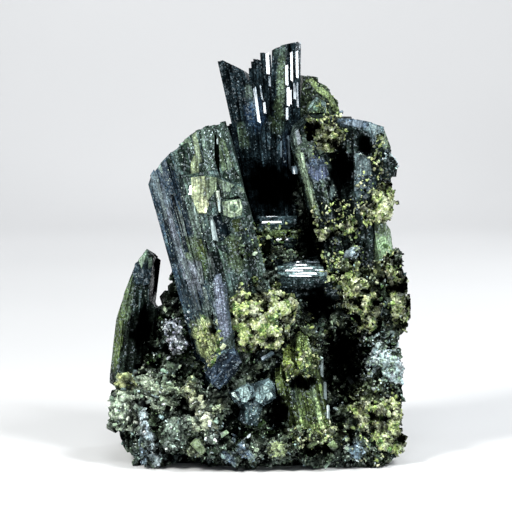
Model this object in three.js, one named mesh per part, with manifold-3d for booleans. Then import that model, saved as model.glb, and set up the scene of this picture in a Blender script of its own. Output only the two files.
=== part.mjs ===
// An epidote cluster: dark, striated crystals that stand in a granular rock, with
// crusts of small yellow-green crystals on and between them. It stands on the flat
// underside of the rock.
//
// Millimetres, +Z up, front towards -Y. The origin is the middle of the underside.

import * as THREE from "three";
import { ConvexGeometry } from "three/addons/geometries/ConvexGeometry.js";
import { mergeVertices } from "three/addons/utils/BufferGeometryUtils.js";
import Module from "manifold-3d";

const wasm = await Module();
wasm.setup();

// ---- Driving dimensions ----

const HALF_WIDTH = 30.4; // nothing reaches further than this to the left or right
const HALF_DEPTH = 21; // nor further than this to the front or back
const SEAM = 0.35; // clearance that a piece leaves around the ones it touches
const WELD = 0.12; // overlap of laths that are joined into one crystal
const MERGE = 1e-4; // vertices closer than this are one vertex
const TALL = 100; // more than the cluster's height
const SKIN_SEAM = 0.5; // the same round a rough skin, measured along its rays
const CROWD = new THREE.Vector3(0, -0.35, 0); // draws a skin's corners to the front

// ---- Solids and how they are joined ----

// A repeatable stream of numbers from 0 to 1.
function dice(seed) {
  let state = seed * 2654435761;
  return () => {
    state = (state + 0x6d2b79f5) | 0;
    let t = Math.imul(state ^ (state >>> 15), 1 | state);
    t = (t + Math.imul(t ^ (t >>> 7), 61 | t)) ^ t;
    return ((t ^ (t >>> 14)) >>> 0) / 4294967296;
  };
}

// A geometry with nothing but its vertices' places.
function bare(geometry) {
  const kept = new THREE.BufferGeometry();
  kept.setAttribute("position", geometry.getAttribute("position"));
  if (geometry.index) kept.setIndex(geometry.index);
  return kept;
}

// A closed three.js geometry as a solid that can be joined and cut. Its vertices
// are merged first unless it shares them already.
function solid(geometry, merge = true) {
  const shared = merge ? mergeVertices(bare(geometry), MERGE) : geometry;
  return new wasm.Manifold(
    new wasm.Mesh({
      numProp: 3,
      vertProperties: new Float32Array(shared.attributes.position.array),
      triVerts: new Uint32Array(shared.index.array),
    }),
  );
}

const convex = (points) => solid(new ConvexGeometry(points));

// The other way round: a solid as a three.js geometry.
function surface(made) {
  const { vertProperties, triVerts, numProp } = made.getMesh();
  const spots = new Float32Array((vertProperties.length / numProp) * 3);
  for (let i = 0; i < spots.length / 3; i++)
    spots.set(vertProperties.subarray(i * numProp, i * numProp + 3), i * 3);
  return new THREE.BufferGeometry()
    .setAttribute("position", new THREE.BufferAttribute(spots, 3))
    .setIndex(new THREE.BufferAttribute(triVerts, 1));
}

// A solid moved to a frame.
const moved = (made, frame) => solid(surface(made).applyMatrix4(frame), false);

const join = (solids) => solids.reduce((sum, next) => sum.add(next));

// The largest body of a solid. Chips that a cut leaves loose are dropped.
function mainBody(cut) {
  const bodies = cut.decompose();
  return bodies.reduce((best, body) =>
    body.volume() > best.volume() ? body : best,
  );
}

// ---- Crystals ----

// A frame that stands at a point: w is the crystal's length. Lean tips w towards
// +X, pitch tips it towards -Y, and turn spins the section about w, in degrees.
function stand({ at, lean = 0, pitch = 0, turn = 0 }) {
  const angles = new THREE.Euler(
    THREE.MathUtils.degToRad(pitch),
    THREE.MathUtils.degToRad(lean),
    THREE.MathUtils.degToRad(turn),
    "YXZ",
  );
  return new THREE.Matrix4()
    .makeRotationFromEuler(angles)
    .setPosition(...at);
}

// A curve through points [u, value], straight between them.
function through(...points) {
  return (u) => {
    const next = points.findIndex(([at]) => at >= u);
    if (next === 0) return points[0][1];
    if (next === -1) return points.at(-1)[1];
    const [[u0, a], [u1, b]] = [points[next - 1], points[next]];
    return a + ((b - a) * (u - u0)) / (u1 - u0);
  };
}

// The corners of one lath of a crystal: a straight bar along w with a planar top.
// u, front, back and top each hold the values at its two sides.
function corners({ u, front, back, foot, top, topTilt = 0 }, grow) {
  const points = [];
  for (const side of [0, 1]) {
    const across = u[side] + (side ? grow : -grow);
    for (const [depth, out] of [
      [front[side], -grow],
      [back[side], grow],
    ]) {
      const tilt = topTilt * (depth - front[side]);
      points.push([across, depth + out, foot - grow]);
      points.push([across, depth + out, top[side] + tilt + grow]);
    }
  }
  return points.map((point) => new THREE.Vector3(...point));
}

// Laths side by side between the given edges. Fronts, backs and tops follow curves
// of u, and each lath departs from them by its own small step.
function row({ edges, front, back, foot, top, step, topStep, topTilt, seed }) {
  const next = dice(seed);
  const own = (most) => (2 * next() - 1) * most;
  return edges.slice(1).map((right, i) => {
    const u = [edges[i] - (i ? WELD : 0), right];
    const [out, rise, behind] = [own(step), own(topStep), own(step)];
    return {
      u,
      front: u.map((at) => front(at) + out),
      back: u.map((at) => back(at) + behind),
      top: u.map((at) => top(at) + rise),
      foot,
      topTilt,
    };
  });
}

// A single bar with a rectangular section, as one lath.
const bar = (u, v, w, topTilt = 0) => ({
  u,
  front: [v[0], v[0]],
  back: [v[1], v[1]],
  foot: w[0],
  top: [w[1], w[1]],
  topTilt,
});

// A crystal in one frame, made of laths. Its seat is the hull around all of them,
// with a seam on all sides.
const crystal = (frame, laths) => (seat = false) => {
  const made = seat
    ? convex(laths.flatMap((one) => corners(one, SEAM)))
    : join(laths.map((one) => convex(corners(one, 0))));
  return moved(made, stand(frame));
};

// Several crystals grown together.
const together = (...parts) => (seat = false) =>
  join(parts.map((part) => part(seat)));

// ---- Rock and crusts ----

// How far a ray from a point runs before it leaves an ellipsoid, or 0 if it misses.
function reach(from, way, [x, y, z, rx, ry = rx, rz = rx]) {
  const radii = new THREE.Vector3(rx, ry, rz);
  const start = from.clone().sub(new THREE.Vector3(x, y, z)).divide(radii);
  const run = way.clone().divide(radii);
  const half = start.dot(run);
  const inside = half * half - run.lengthSq() * (start.lengthSq() - 1);
  return inside < 0 ? 0 : (Math.sqrt(inside) - half) / run.lengthSq();
}

// A rough skin of small facets round a set of ellipsoids [x, y, z, rx, ry, rz]. Every
// corner lies on the way out from a point inside them, pushed back at random, and
// the corners crowd towards the front. Its seat is the same skin, further out.
const skin = ({ from, lumps, detail, rough, seed }) => (seat = false) => {
  const shared = mergeVertices(bare(new THREE.IcosahedronGeometry(1, detail)), MERGE);
  const spots = shared.getAttribute("position");
  const next = dice(seed);
  const centre = new THREE.Vector3(...from);
  for (let i = 0; i < spots.count; i++) {
    const way = new THREE.Vector3().fromBufferAttribute(spots, i).add(CROWD).normalize();
    const far = Math.max(...lumps.map((lump) => reach(centre, way, lump)));
    const out = far - rough * next() + (seat ? SKIN_SEAM : 0);
    spots.setXYZ(i, ...way.multiplyScalar(out).add(centre));
  }
  return solid(shared, false);
};

// A crust on the front of the cluster, cut off flat at its back.
const crust = (shape) => (seat = false) => {
  const back = shape.back + (seat ? SEAM : 0) - TALL / 2;
  const half = new THREE.BoxGeometry(TALL, TALL, 2 * TALL).translate(0, back, 0);
  return skin({ rough: 0.9, ...shape })(seat).intersect(solid(half));
};

// ---- The crystals ----

// The tall slab on the left: laths side by side, a ridge towards the front left,
// and what is left of a younger layer on its front face.
const slabFront = through([0, 1], [6.8, -6.5], [18.2, -4.5]);
const slabTop = through(
  [0, 51],
  [1, 52.4],
  [2.7, 54],
  [5.1, 55.5],
  [6.9, 56.6],
  [9.9, 57.9],
  [12.7, 59],
  [18.2, 59],
);
const tallSlab = crystal({ at: [-9, -4, 6], lean: -15 }, [
  ...row({
    edges: [0, 1, 2, 3.4, 5.1, 6.8, 8.4, 10.3, 12.2, 14.2, 16.2, 18.2],
    front: slabFront,
    back: through([0, 3], [3, 7], [18.2, 6]),
    top: slabTop,
    foot: 0,
    step: 0.45,
    topStep: 0.35,
    topTilt: -0.35,
    seed: 11,
  }),
  { u: [7.4, 12.2], front: [-7.6, -6.9], back: [-4, -4], foot: 42, top: [51.4, 50.8] },
  { u: [12, 17.1], front: [-7.2, -6.1], back: [-4, -3], foot: 44.6, top: [50.4, 46.9] },
  { u: [12.7, 17.2], front: [-7.6, -6.9], back: [-4.1, -3.1], foot: 40.3, top: [44.8, 44.2] },
  { u: [8.6, 10], front: [-8.1, -7.5], back: [-5, -5], foot: 35.5, top: [43.2, 42.4] },
  { u: [6.57, 8.23], front: [-7.3, -7.47], back: [-5.1, -5.1], foot: 24, top: [47.3, 48.1] },
  { u: [10.4, 14.2], front: [-7.2, -6.6], back: [-5, -4], foot: 20, top: [36, 38.5] },
]);

// The prongs at the top: four fans of laths that spread from one root. Their broad
// faces look front left, and the steps between laths look front right.
const leftFan = crystal({ at: [-2, 4.2, 50], lean: -12.6, turn: -12 }, [
  ...row({
    edges: [0, 1.1, 2.4, 3.7, 5],
    front: through([0, 0.2], [5, -0.5]),
    back: through([0, 2.6], [5, 4]),
    top: through([0, 30.4], [1.1, 30.2], [5, 27.2]),
    foot: -4,
    step: 0.12,
    topStep: 0.2,
    topTilt: -0.2,
    seed: 21,
  }),
  // a shorter lath behind its left edge, down to the slab
  bar([-1.9, 0.1], [1.5, 4.6], [-4, 17.2], -0.2),
]);
const frontFan = crystal({ at: [-2.5, 1.7, 50], lean: -7.5, turn: -26 }, [
  ...row({
    edges: [0, 1.6, 3.3, 5.1],
    front: through([0, 0], [5.1, -0.2]),
    back: through([0, 3], [5.1, 3.4]),
    top: through([0, 27.4], [5.1, 24.8]),
    foot: -4,
    step: 0.1,
    topStep: 0.25,
    topTilt: -0.3,
    seed: 22,
  }),
  bar([4.95, 5.6], [2.3, 4.2], [4, 23.6], -0.3),
]);
const middleFan = crystal({ at: [-0.4, 3.8, 50], lean: -3.4, turn: -28 }, [
  bar([-0.5, 0.3], [0.4, 3.2], [-4, 28.2], -0.2),
  bar([0.2, 1], [0.2, 3.2], [-4, 29.4], -0.2),
  bar([0.9, 1.9], [-0.1, 3.1], [-4, 29.9], -0.2),
  bar([1.8, 2.6], [0.1, 3], [-4, 29.4], -0.2),
  bar([2.5, 3.3], [0, 3.1], [-4, 31.2], -0.2),
]);
const rightFan = crystal({ at: [2.2, 3.2, 50], lean: 0.4, turn: -30 }, [
  ...row({
    edges: [-0.1, 1, 2, 3.05],
    front: through([0, 0], [3, -0.1]),
    back: through([0, 3.6], [3, 4.2]),
    top: through([0, 31.4], [1.4, 32.2], [3, 32.7]),
    foot: -4,
    step: 0.1,
    topStep: 0.2,
    topTilt: 0.1,
    seed: 23,
  }),
  bar([2.9, 3.4], [1.9, 4.6], [9, 32.6], 0.1),
  bar([3.3, 3.95], [2.5, 4.7], [9, 33.1], 0.1),
]);
const frontStep = crystal({ at: [1, 1.6, 46], lean: -1.5, turn: -28 }, [
  bar([-0.2, 0.9], [0.3, 3], [0, 22.9], -0.3),
  bar([0.8, 1.9], [-0.1, 3], [0, 21.4], -0.3),
  bar([1.8, 3.2], [0.2, 3], [0, 22.6], -0.3),
  bar([3.1, 4.3], [-0.1, 3], [0, 21.9], -0.3),
  bar([4.2, 5], [0.5, 3], [0, 18], -0.3),
]);
const topProngs = together(leftFan, frontFan, middleFan, rightFan, frontStep);

// The broad block at the upper right. Its left part leans like the tall slab, and a
// pit opens between the two parts.
const rightBlock = together(
  crystal({ at: [13.4, -6.5, 38], lean: -14.5 }, [
    { u: [-0.9, 0.5], front: [2.4, -0.6], back: [9, 11], foot: 2, top: [26.6, 28.2], topTilt: 0.1 },
    { u: [0.4, 3.8], front: [-0.5, -1.5], back: [11, 12], foot: 0, top: [28.4, 29.4], topTilt: 0.1 },
    { u: [3.7, 7.2], front: [-1.4, 0.6], back: [12, 12], foot: 0, top: [29.6, 29.1], topTilt: 0.1 },
    { u: [1.5, 4.9], front: [-1.7, -2.2], back: [2, 2], foot: 16.6, top: [22.2, 22.9] },
    { u: [2, 5.6], front: [-1.6, -1.2], back: [2, 2], foot: 10, top: [15.2, 13.8] },
  ]),
  crystal({ at: [15.2, -2, 36], lean: -1 }, [
    { u: [-0.6, 3.8], front: [1.4, 1], back: [9, 9], foot: -2, top: [31.6, 31.5], topTilt: 0.1 },
    { u: [-1, 3.7], front: [-4.4, -4.6], back: [3, 3], foot: 25.4, top: [32.6, 32.4], topTilt: -0.1 },
    { u: [3.6, 7.2], front: [-4.8, -5.4], back: [9, 9], foot: -2, top: [32.3, 31.6], topTilt: -0.12 },
    { u: [1.2, 4.4], front: [-3, -4.2], back: [3.1, 3.1], foot: 8, top: [15.8, 18.6], topTilt: 0.3 },
  ]),
  crystal({ at: [15.2, -2, 36], lean: -1 }, [
    { u: [7, 9.6], front: [-5.2, -4], back: [9.1, 8.4], foot: 13, top: [31.5, 30.6], topTilt: -0.12 },
    { u: [9.5, 11], front: [-3.8, -2], back: [8, 6.6], foot: 14, top: [30.4, 26.4], topTilt: -0.1 },
  ]),
  // a stub on its right-hand side
  crystal({ at: [25, -7.2, 56.6], lean: 6, turn: 18 }, [
    { u: [-1.6, 0.1], front: [-0.8, -1.5], back: [4, 4], foot: 0, top: [3.4, 4.4] },
    { u: [0, 1.6], front: [-1.4, -0.5], back: [4, 4], foot: 0.4, top: [4.4, 3.2] },
  ]),
);

// The olive crystal with a rounded end behind it.
const oliveCrystal = crystal({ at: [11, 9, 48], lean: 8, turn: 5 }, [
  { u: [-6.4, -3.4], front: [-2, -2.6], back: [3.4, 4], foot: 0, top: [27.9, 27.8] },
  { u: [-3.6, -0.8], front: [-3.2, -3.4], back: [4, 4.4], foot: 0, top: [27.5, 25.8] },
  { u: [-1, 1.1], front: [-3.2, -2.8], back: [4.4, 4], foot: 0, top: [25.6, 23.9] },
  { u: [1, 3.2], front: [-2.4, -1.6], back: [4, 3.4], foot: 0, top: [23.8, 18.6] },
  { u: [-5, -2.6], front: [-6.2, -6.6], back: [-2, -2], foot: 4, top: [21, 23.2], topTilt: 0.3 },
  { u: [-2.8, -0.4], front: [-6.2, -5.4], back: [-2, -2], foot: 4, top: [23, 20.2], topTilt: 0.3 },
]);

// The wedge at the far left.
const leftWedge = crystal({ at: [-25.4, 2, 14], lean: 7, turn: -10 }, [
  { u: [-5, -3.4], front: [-1.6, -3.6], back: [3, 4.2], foot: 0, top: [13, 18.8] },
  { u: [-3.6, -1.6], front: [-3.4, -4.6], back: [4.2, 4.8], foot: 0, top: [18.6, 25.4] },
  { u: [-1.8, 0.2], front: [-4.8, -4.4], back: [4.8, 5], foot: 3, top: [25.2, 28.4], topTilt: -0.2 },
  { u: [0, 1.4], front: [-3.8, -3], back: [5, 4.6], foot: 5, top: [28.2, 27.4], topTilt: -0.2 },
  { u: [1.2, 2.8], front: [-2.6, -1.4], back: [4.4, 3.6], foot: 7, top: [18.6, 16.5], topTilt: -0.2 },
]);

// Crystals that lie across the recess, their length along X.
const crossLying = together(
  crystal({ at: [14.6, -2, 33.4], lean: -90 }, [
    bar([1.6, 3.4], [-5, 4], [0, 11.6]),
    bar([3.3, 4.6], [-4.5, 4], [1.4, 11.2]),
    bar([4.5, 5.7], [-3.7, 4], [0.8, 11.8]),
    bar([5.6, 6.9], [-2.7, 4], [2.6, 10.8]),
    bar([-1, 1.7], [-4.2, 4], [-1, 13]),
  ]),
  crystal({ at: [7.6, 1.5, 42], lean: -90, pitch: 3 }, [
    bar([-5, 1.4], [-4.6, 4], [1, 14]),
    bar([1.3, 2.6], [-5.6, 4], [0.6, 12.6]),
    bar([2.5, 4], [-4.6, 4], [0, 8.8]),
    bar([3.9, 5.2], [-3.8, 4], [0.8, 9.2]),
    bar([5.1, 6.6], [-2.6, 4], [0.4, 8.4]),
    bar([6.5, 8.8], [-1, 4], [0.6, 7.6]),
  ]),
);

// The thin crystal that lies against the foot of the tall slab, and the block below.
const slatePrism = crystal({ at: [-6.2, -15.6, 23.2], lean: -7, turn: -20 }, [
  bar([-1, 0.1], [-0.9, 1.4], [0, 14.8], 0.4),
  bar([0, 0.9], [-0.5, 1.4], [0.6, 13.2], 0.4),
]);
const slateBlock = crystal({ at: [-8.8, -15.5, 18.2], lean: 38, turn: 20, pitch: 8 }, [
  { u: [-2.4, -0.6], front: [-1, -2.4], back: [2.4, 3], foot: 0, top: [6.2, 7.4] },
  { u: [-0.8, 1.2], front: [-2.6, -2.2], back: [3, 3], foot: -0.6, top: [7.2, 6.6] },
  { u: [1, 2.4], front: [-2, -0.8], back: [3, 2], foot: 0.4, top: [6.2, 4.8] },
]);

// Pale crystals below it.
const palePair = together(
  crystal({ at: [-4.8, -16.5, 14.2], lean: 62, pitch: -6 }, [
    { u: [-1.9, 0.1], front: [-1.5, -2.4], back: [2.4, 2.4], foot: -0.4, top: [4.2, 5] },
    { u: [0, 1.7], front: [-2.2, -1.2], back: [2.4, 2], foot: 0, top: [4.8, 3.8] },
  ]),
  crystal({ at: [-1, -16, 14.6], lean: 70, pitch: 8, turn: 30 }, [
    { u: [-1.8, 0], front: [-1.4, -2.2], back: [2.2, 2.4], foot: 0, top: [3.6, 4.4] },
    { u: [-0.1, 1.7], front: [-2, -1], back: [2.2, 2], foot: 0, top: [4.2, 3.4] },
  ]),
  crystal({ at: [-2.2, -16.4, 9.6], lean: 16, turn: 24 }, [
    { u: [-1.7, 0], front: [-1, -1.8], back: [2, 2], foot: 0, top: [4.4, 5] },
    { u: [-0.1, 1.6], front: [-1.6, -0.8], back: [2, 2], foot: 0, top: [4.8, 4.2] },
  ]),
);

// Olive blades that run parallel to the slab, right of the middle.
const oliveBlades = crystal({ at: [10.8, -12, 4.6], lean: -12, turn: -8 }, [
  bar([-4.8, -3.3], [-2.2, 3], [0, 15.5], 0.5),
  bar([-3.4, -2.4], [-1.2, 3], [1, 14], 0.5),
  bar([-2.5, -0.9], [-2.8, 3], [0, 18], 0.5),
  bar([-1, 0.4], [-2, 3], [0, 16.2], 0.5),
  bar([0.3, 1.7], [-2.6, 3], [0.4, 19.5], 0.5),
  bar([1.6, 2.7], [-1.7, 3], [0, 20.4], 0.5),
  bar([2.6, 3.7], [-0.9, 3], [0, 16.8], 0.5),
]);

// The smooth pale crystal at the right-hand edge.
const paleEdge = crystal({ at: [25, -1, 32], lean: -9, turn: 6 }, [
  { u: [-3.4, -0.5], front: [-3.4, -4.6], back: [5, 6], foot: 0, top: [15.6, 17] },
  { u: [-0.7, 1.6], front: [-4.9, -4.2], back: [6, 6.4], foot: 0, top: [16.6, 16.2] },
  { u: [1.5, 2.9], front: [-4.1, -1.8], back: [6.3, 5], foot: 0, top: [16.4, 13.8] },
]);

// ---- The crusts ----

const centreCrust = crust({
  from: [0, -11.4, 29],
  lumps: [
    [-3.2, -12.6, 30.8, 4.4, 4.6, 5],
    [1.6, -13, 28, 5, 5, 5.6],
    [4.6, -11.6, 31.6, 4, 4.2, 4.2],
    [-2.8, -12.4, 24.8, 3.2, 4, 3.2],
    [2.4, -11.8, 34, 3, 3.6, 2.6],
  ],
  back: -9.4,
  detail: 4,
  seed: 51,
});
const blockCrust = crust({
  from: [12.8, -8.2, 64.8],
  lumps: [
    [12.8, -7.8, 64.9, 4.2, 2.6, 3.2],
    [10.6, -8.4, 66, 2.9, 2.4, 2.7],
    [14.6, -8.6, 64.8, 2.9, 2.6, 3.5],
    [13.2, -8.8, 62.8, 2.6, 2.2, 2.2],
  ],
  back: -7,
  detail: 3,
  seed: 53,
});
const sideCrust = crust({
  from: [23.4, -6, 52],
  lumps: [
    [23.4, -6, 52, 3.2, 3.2, 5.2],
    [24.2, -5.8, 54.4, 2.4, 2.6, 2.8],
    [22, -7, 49.8, 3, 2.8, 2.8],
  ],
  back: -4.8,
  detail: 3,
  seed: 54,
});
const bandCrust = crust({
  from: [15.6, -7.4, 47],
  lumps: [
    [15.4, -7.6, 46.8, 4.6, 2.8, 2.1],
    [12.8, -8, 46, 2.6, 2.4, 2],
    [17.8, -7.8, 47.6, 2.6, 2.6, 2.4],
  ],
  back: -5.8,
  detail: 3,
  seed: 55,
});
const columnCrust = crust({
  from: [19.8, -7.6, 33.4],
  lumps: [
    [19.6, -7.6, 33.4, 3.8, 3.6, 5.4],
    [17.4, -8, 37, 2.8, 2.8, 2.8],
    [20.8, -8.6, 32.6, 3.2, 3.4, 3.4],
    [21.8, -7.8, 28.4, 2.8, 3, 3.2],
  ],
  back: -5.4,
  detail: 3,
  seed: 56,
});
const edgeCrust = crust({
  from: [25.8, -4, 33.4],
  lumps: [
    [25.6, -3.8, 33.6, 3, 4, 6],
    [24.8, -5.2, 37.6, 2.7, 3.4, 3.6],
    [26.8, -4, 29.8, 3.4, 4.6, 4.8],
  ],
  back: -2,
  detail: 3,
  seed: 57,
});
const blueCrust = crust({
  from: [24.2, -7.4, 20],
  lumps: [
    [22.8, -8.6, 21, 3, 3.4, 3.1],
    [25.1, -7.4, 18.9, 3.2, 4.2, 4.2],
  ],
  back: -4.6,
  detail: 3,
  seed: 59,
});
const lowerCrust = crust({
  from: [22.8, -7.4, 7.4],
  lumps: [
    [22.8, -6.8, 7.4, 5, 5.2, 6.4],
    [20.2, -9.6, 11.2, 3.8, 3.8, 3.6],
    [24.9, -7.4, 9.8, 4, 4.8, 5],
    [23.2, -9, 4.3, 5.2, 4.8, 3.7],
    [19, -9.6, 6.4, 2.8, 3.6, 3.2],
  ],
  back: -5.4,
  detail: 3,
  seed: 62,
});
const darkKnob = crust({
  from: [-16.8, -6.4, 25.2],
  lumps: [
    [-17.4, -6.6, 27, 2.8, 3, 3.2],
    [-16.2, -6.8, 23.6, 2.9, 3, 3],
  ],
  back: -4.6,
  detail: 3,
  seed: 66,
});

// ---- The rock ----

const rockFoot = skin({
  from: [0, 0, 11],
  lumps: [
    [0, 3, 5.4, 27, 16.8, 13],
    [-14.6, -0.4, 5, 13, 13.4, 12],
    [14, 0, 4.6, 14.4, 13.6, 13],
    [-18, 5, 13, 11, 11, 11],
    [-16, 0, 20, 8, 6.4, 9],
    [1, -6, 22, 9, 7, 9],
    [22, 0, 16, 7, 12, 13],
    // the ledge on the left and what is under it
    [-26, -5, 15.2, 4, 5, 3],
    [-20, -8.6, 15.4, 5.6, 5, 3.2],
    [-13.6, -11.4, 14, 5, 5, 3.4],
    [-26, -7, 9.4, 4.2, 5, 4.4],
    [-21.6, -11, 6, 4, 5, 5.6],
    [-23, -8.4, 2.6, 4, 5, 3.6],
    [-15.8, -13.6, 7, 4.4, 4.8, 4.6],
    [-10.4, -15.2, 9, 4.2, 4.4, 4.4],
    [-9.4, -14.6, 4.6, 4.4, 4.4, 4],
    // the foot in the middle
    [-3.6, -14.6, 4.4, 4.4, 4.6, 4],
    [-3.4, -13, 10.6, 4.6, 4.4, 5],
    [2.6, -14.2, 4, 4.8, 4.6, 3.8],
    [3.6, -10.6, 13, 4, 4.4, 5],
    [-4, -12.4, 17.4, 5, 4.6, 4],
    // the ledge that the blades stand on
    [6.8, -14.8, 5.6, 4, 4.4, 2.8],
    [12.4, -13.8, 6.8, 4.2, 4.6, 2.8],
    [11.4, -12.6, 3.4, 6, 4.6, 3.4],
    [18.4, -11.2, 4, 4, 4.6, 3.9],
    // the right foot and the back
    [24, -3, 9, 4.6, 6.4, 9],
    [21, -6.6, 2.4, 7, 7.4, 4.6],
    [-15, 11.4, 5, 11, 8, 16],
    [0, 14, 8, 12, 7, 17],
    [16, 12.6, 6, 11, 8, 18],
  ],
  detail: 6,
  rough: 1.3,
  seed: 71,
});
const rockWall = skin({
  from: [8, 5, 35],
  lumps: [
    [2, 7, 26, 17, 9, 18],
    [-12, 6, 25, 11, 8, 15],
    [18, 4, 28, 11, 11, 20],
    [11, 8.4, 46, 12, 7, 10],
    [-1, 8, 46, 9.6, 6, 10],
    [3.4, 1.6, 51, 6.6, 4, 4.8],
    [10, 14, 33, 8, 5, 10],
    [-6, 13, 33, 7, 4.6, 8],
    [20, 11.4, 31, 7, 5, 9],
    // under the cross-lying crystals and round the centre crust
    [-1.4, -3.4, 41.4, 4.2, 4.6, 3.6],
    [4.4, -2.4, 41, 4.6, 4.6, 3],
    [-1, -6.4, 36, 5.4, 5.4, 4.2],
    [6.8, -5.4, 29, 4.6, 5, 5.6],
    [8.6, -8, 22.4, 4.2, 4.6, 4.6],
    // the right-hand column behind its crusts
    [17, -4.6, 40, 5, 5, 5],
    [24, -2, 38.4, 4.8, 7, 6],
    [20.6, -5, 33, 4.8, 5.6, 5.6],
    [25, -2.4, 28, 4.6, 6.6, 6.4],
    [23, -3.6, 21, 5, 5.6, 5],
  ],
  detail: 4,
  rough: 1.3,
  seed: 72,
});
// Pits between the crystals, each a rough ellipsoid.
const pit = (place, seed) =>
  skin({ from: place.slice(0, 3), lumps: [place], detail: 2, rough: 0.6, seed })();
const PITS = [
  [17.2, -11.6, 20.6, 3.9, 9, 7.4],
  [10.8, -8.6, 30.6, 3.4, 5.6, 3.6],
  [3.6, -17, 10.2, 2, 5, 3.6],
  [-14.4, -18, 0.2, 5.4, 13.5, 3],
].map((place, i) => pit(place, 80 + i));

const rock = (seat = false) => {
  const whole = together(rockFoot, rockWall)(seat);
  return seat ? whole : PITS.reduce((left, hollow) => left.subtract(hollow), whole);
};

// The space above the resting plane, as far as the cluster may reach.
const envelope = solid(
  new THREE.BoxGeometry(2 * HALF_WIDTH, 2 * HALF_DEPTH, TALL).translate(0, 0, TALL / 2),
);

// ---- Seating: each piece is cut by the ones listed before it ----

const GREY_GREEN = { color: 0x4a5546, roughness: 0.85 };
const NEAR_BLACK = { color: 0x1b2428, roughness: 0.3 };
const DARK_GREEN = { color: 0x26322e, roughness: 0.4 };
const OLIVE = { color: 0x5b6a2e, roughness: 0.5 };
const YELLOW_GREEN = { color: 0x9aa548, roughness: 0.6 };
const BLUE_GREY = { color: 0x55616b, roughness: 0.5 };
const PALE_BLUE = { color: 0xa3b4b6, roughness: 0.7 };
const PALE_GREEN = { color: 0x8a9a78, roughness: 0.45 };

const PIECES = [
  ["tall_slab_crystal", tallSlab, DARK_GREEN],
  ["twin_top_crystals", topProngs, NEAR_BLACK],
  ["right_block_crystal", rightBlock, DARK_GREEN],
  ["slate_blue_prism", slatePrism, BLUE_GREY],
  ["slate_blue_block", slateBlock, BLUE_GREY],
  ["pale_foot_crystals", palePair, BLUE_GREY],
  ["olive_blades", oliveBlades, OLIVE],
  ["cross_lying_crystals", crossLying, NEAR_BLACK],
  ["olive_back_crystal", oliveCrystal, OLIVE],
  ["left_wedge_crystal", leftWedge, DARK_GREEN],
  ["pale_edge_crystal", paleEdge, PALE_GREEN],
  ["rock", rock, GREY_GREEN],
  ["centre_crust", centreCrust, YELLOW_GREEN],
  ["block_crust", blockCrust, YELLOW_GREEN],
  ["side_crust", sideCrust, YELLOW_GREEN],
  ["band_crust", bandCrust, YELLOW_GREEN],
  ["pale_blue_crust", blueCrust, PALE_BLUE],
  ["column_crust", columnCrust, YELLOW_GREEN],
  ["edge_crust", edgeCrust, YELLOW_GREEN],
  ["lower_crust", lowerCrust, YELLOW_GREEN],
  ["dark_knob", darkKnob, BLUE_GREY],
];

const cluster = new THREE.Group();
let taken = null;
for (const [name, make, look] of PIECES) {
  let piece = make().intersect(envelope);
  if (taken) piece = piece.subtract(taken);
  piece = mainBody(piece);
  taken = taken ? taken.add(make(true)) : make(true);
  const geometry = surface(piece);
  geometry.computeVertexNormals();
  const mesh = new THREE.Mesh(
    geometry,
    new THREE.MeshStandardMaterial({ ...look, metalness: 0, flatShading: true }),
  );
  mesh.name = name;
  cluster.add(mesh);
}

export default cluster;
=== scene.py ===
import math

import bmesh
import bpy
import numpy as np
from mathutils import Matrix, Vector, noise
from mathutils.bvhtree import BVHTree
from mathutils.kdtree import KDTree


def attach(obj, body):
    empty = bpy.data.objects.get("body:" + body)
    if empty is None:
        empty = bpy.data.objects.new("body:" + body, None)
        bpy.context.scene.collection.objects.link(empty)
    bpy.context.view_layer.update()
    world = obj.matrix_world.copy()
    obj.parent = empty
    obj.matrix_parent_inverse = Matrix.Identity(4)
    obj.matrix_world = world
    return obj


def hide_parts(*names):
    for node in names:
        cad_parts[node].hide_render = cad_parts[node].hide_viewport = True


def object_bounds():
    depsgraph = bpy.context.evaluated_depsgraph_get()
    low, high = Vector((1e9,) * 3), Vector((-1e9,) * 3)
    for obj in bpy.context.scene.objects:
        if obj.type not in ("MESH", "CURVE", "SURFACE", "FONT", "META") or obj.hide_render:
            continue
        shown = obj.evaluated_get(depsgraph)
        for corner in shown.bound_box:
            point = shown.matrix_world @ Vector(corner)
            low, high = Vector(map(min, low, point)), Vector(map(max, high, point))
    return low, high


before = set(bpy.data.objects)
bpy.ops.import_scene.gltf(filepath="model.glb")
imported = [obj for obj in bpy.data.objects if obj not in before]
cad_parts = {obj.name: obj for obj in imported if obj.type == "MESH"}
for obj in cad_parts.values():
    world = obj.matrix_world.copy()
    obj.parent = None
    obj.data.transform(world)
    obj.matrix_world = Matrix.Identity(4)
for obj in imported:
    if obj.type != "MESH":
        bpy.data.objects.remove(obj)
cad_low, cad_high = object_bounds()

MM = 0.001
MARGIN = 0.02  # how far every mesh stays inside the box of the solids
LOW = np.array(cad_low) / MM + MARGIN
HIGH = np.array(cad_high) / MM - MARGIN

# ---- Meshes as arrays: corners in mm and triangles ----


def mesh_arrays(mesh):
    mesh.calc_loop_triangles()
    co = np.empty(len(mesh.vertices) * 3, np.float32)
    mesh.vertices.foreach_get("co", co)
    tris = np.empty(len(mesh.loop_triangles) * 3, np.int32)
    mesh.loop_triangles.foreach_get("vertices", tris)
    return co.reshape(-1, 3).astype(float) / MM, tris.reshape(-1, 3)


def cad_arrays(node):
    return mesh_arrays(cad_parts[node].data)


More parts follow.
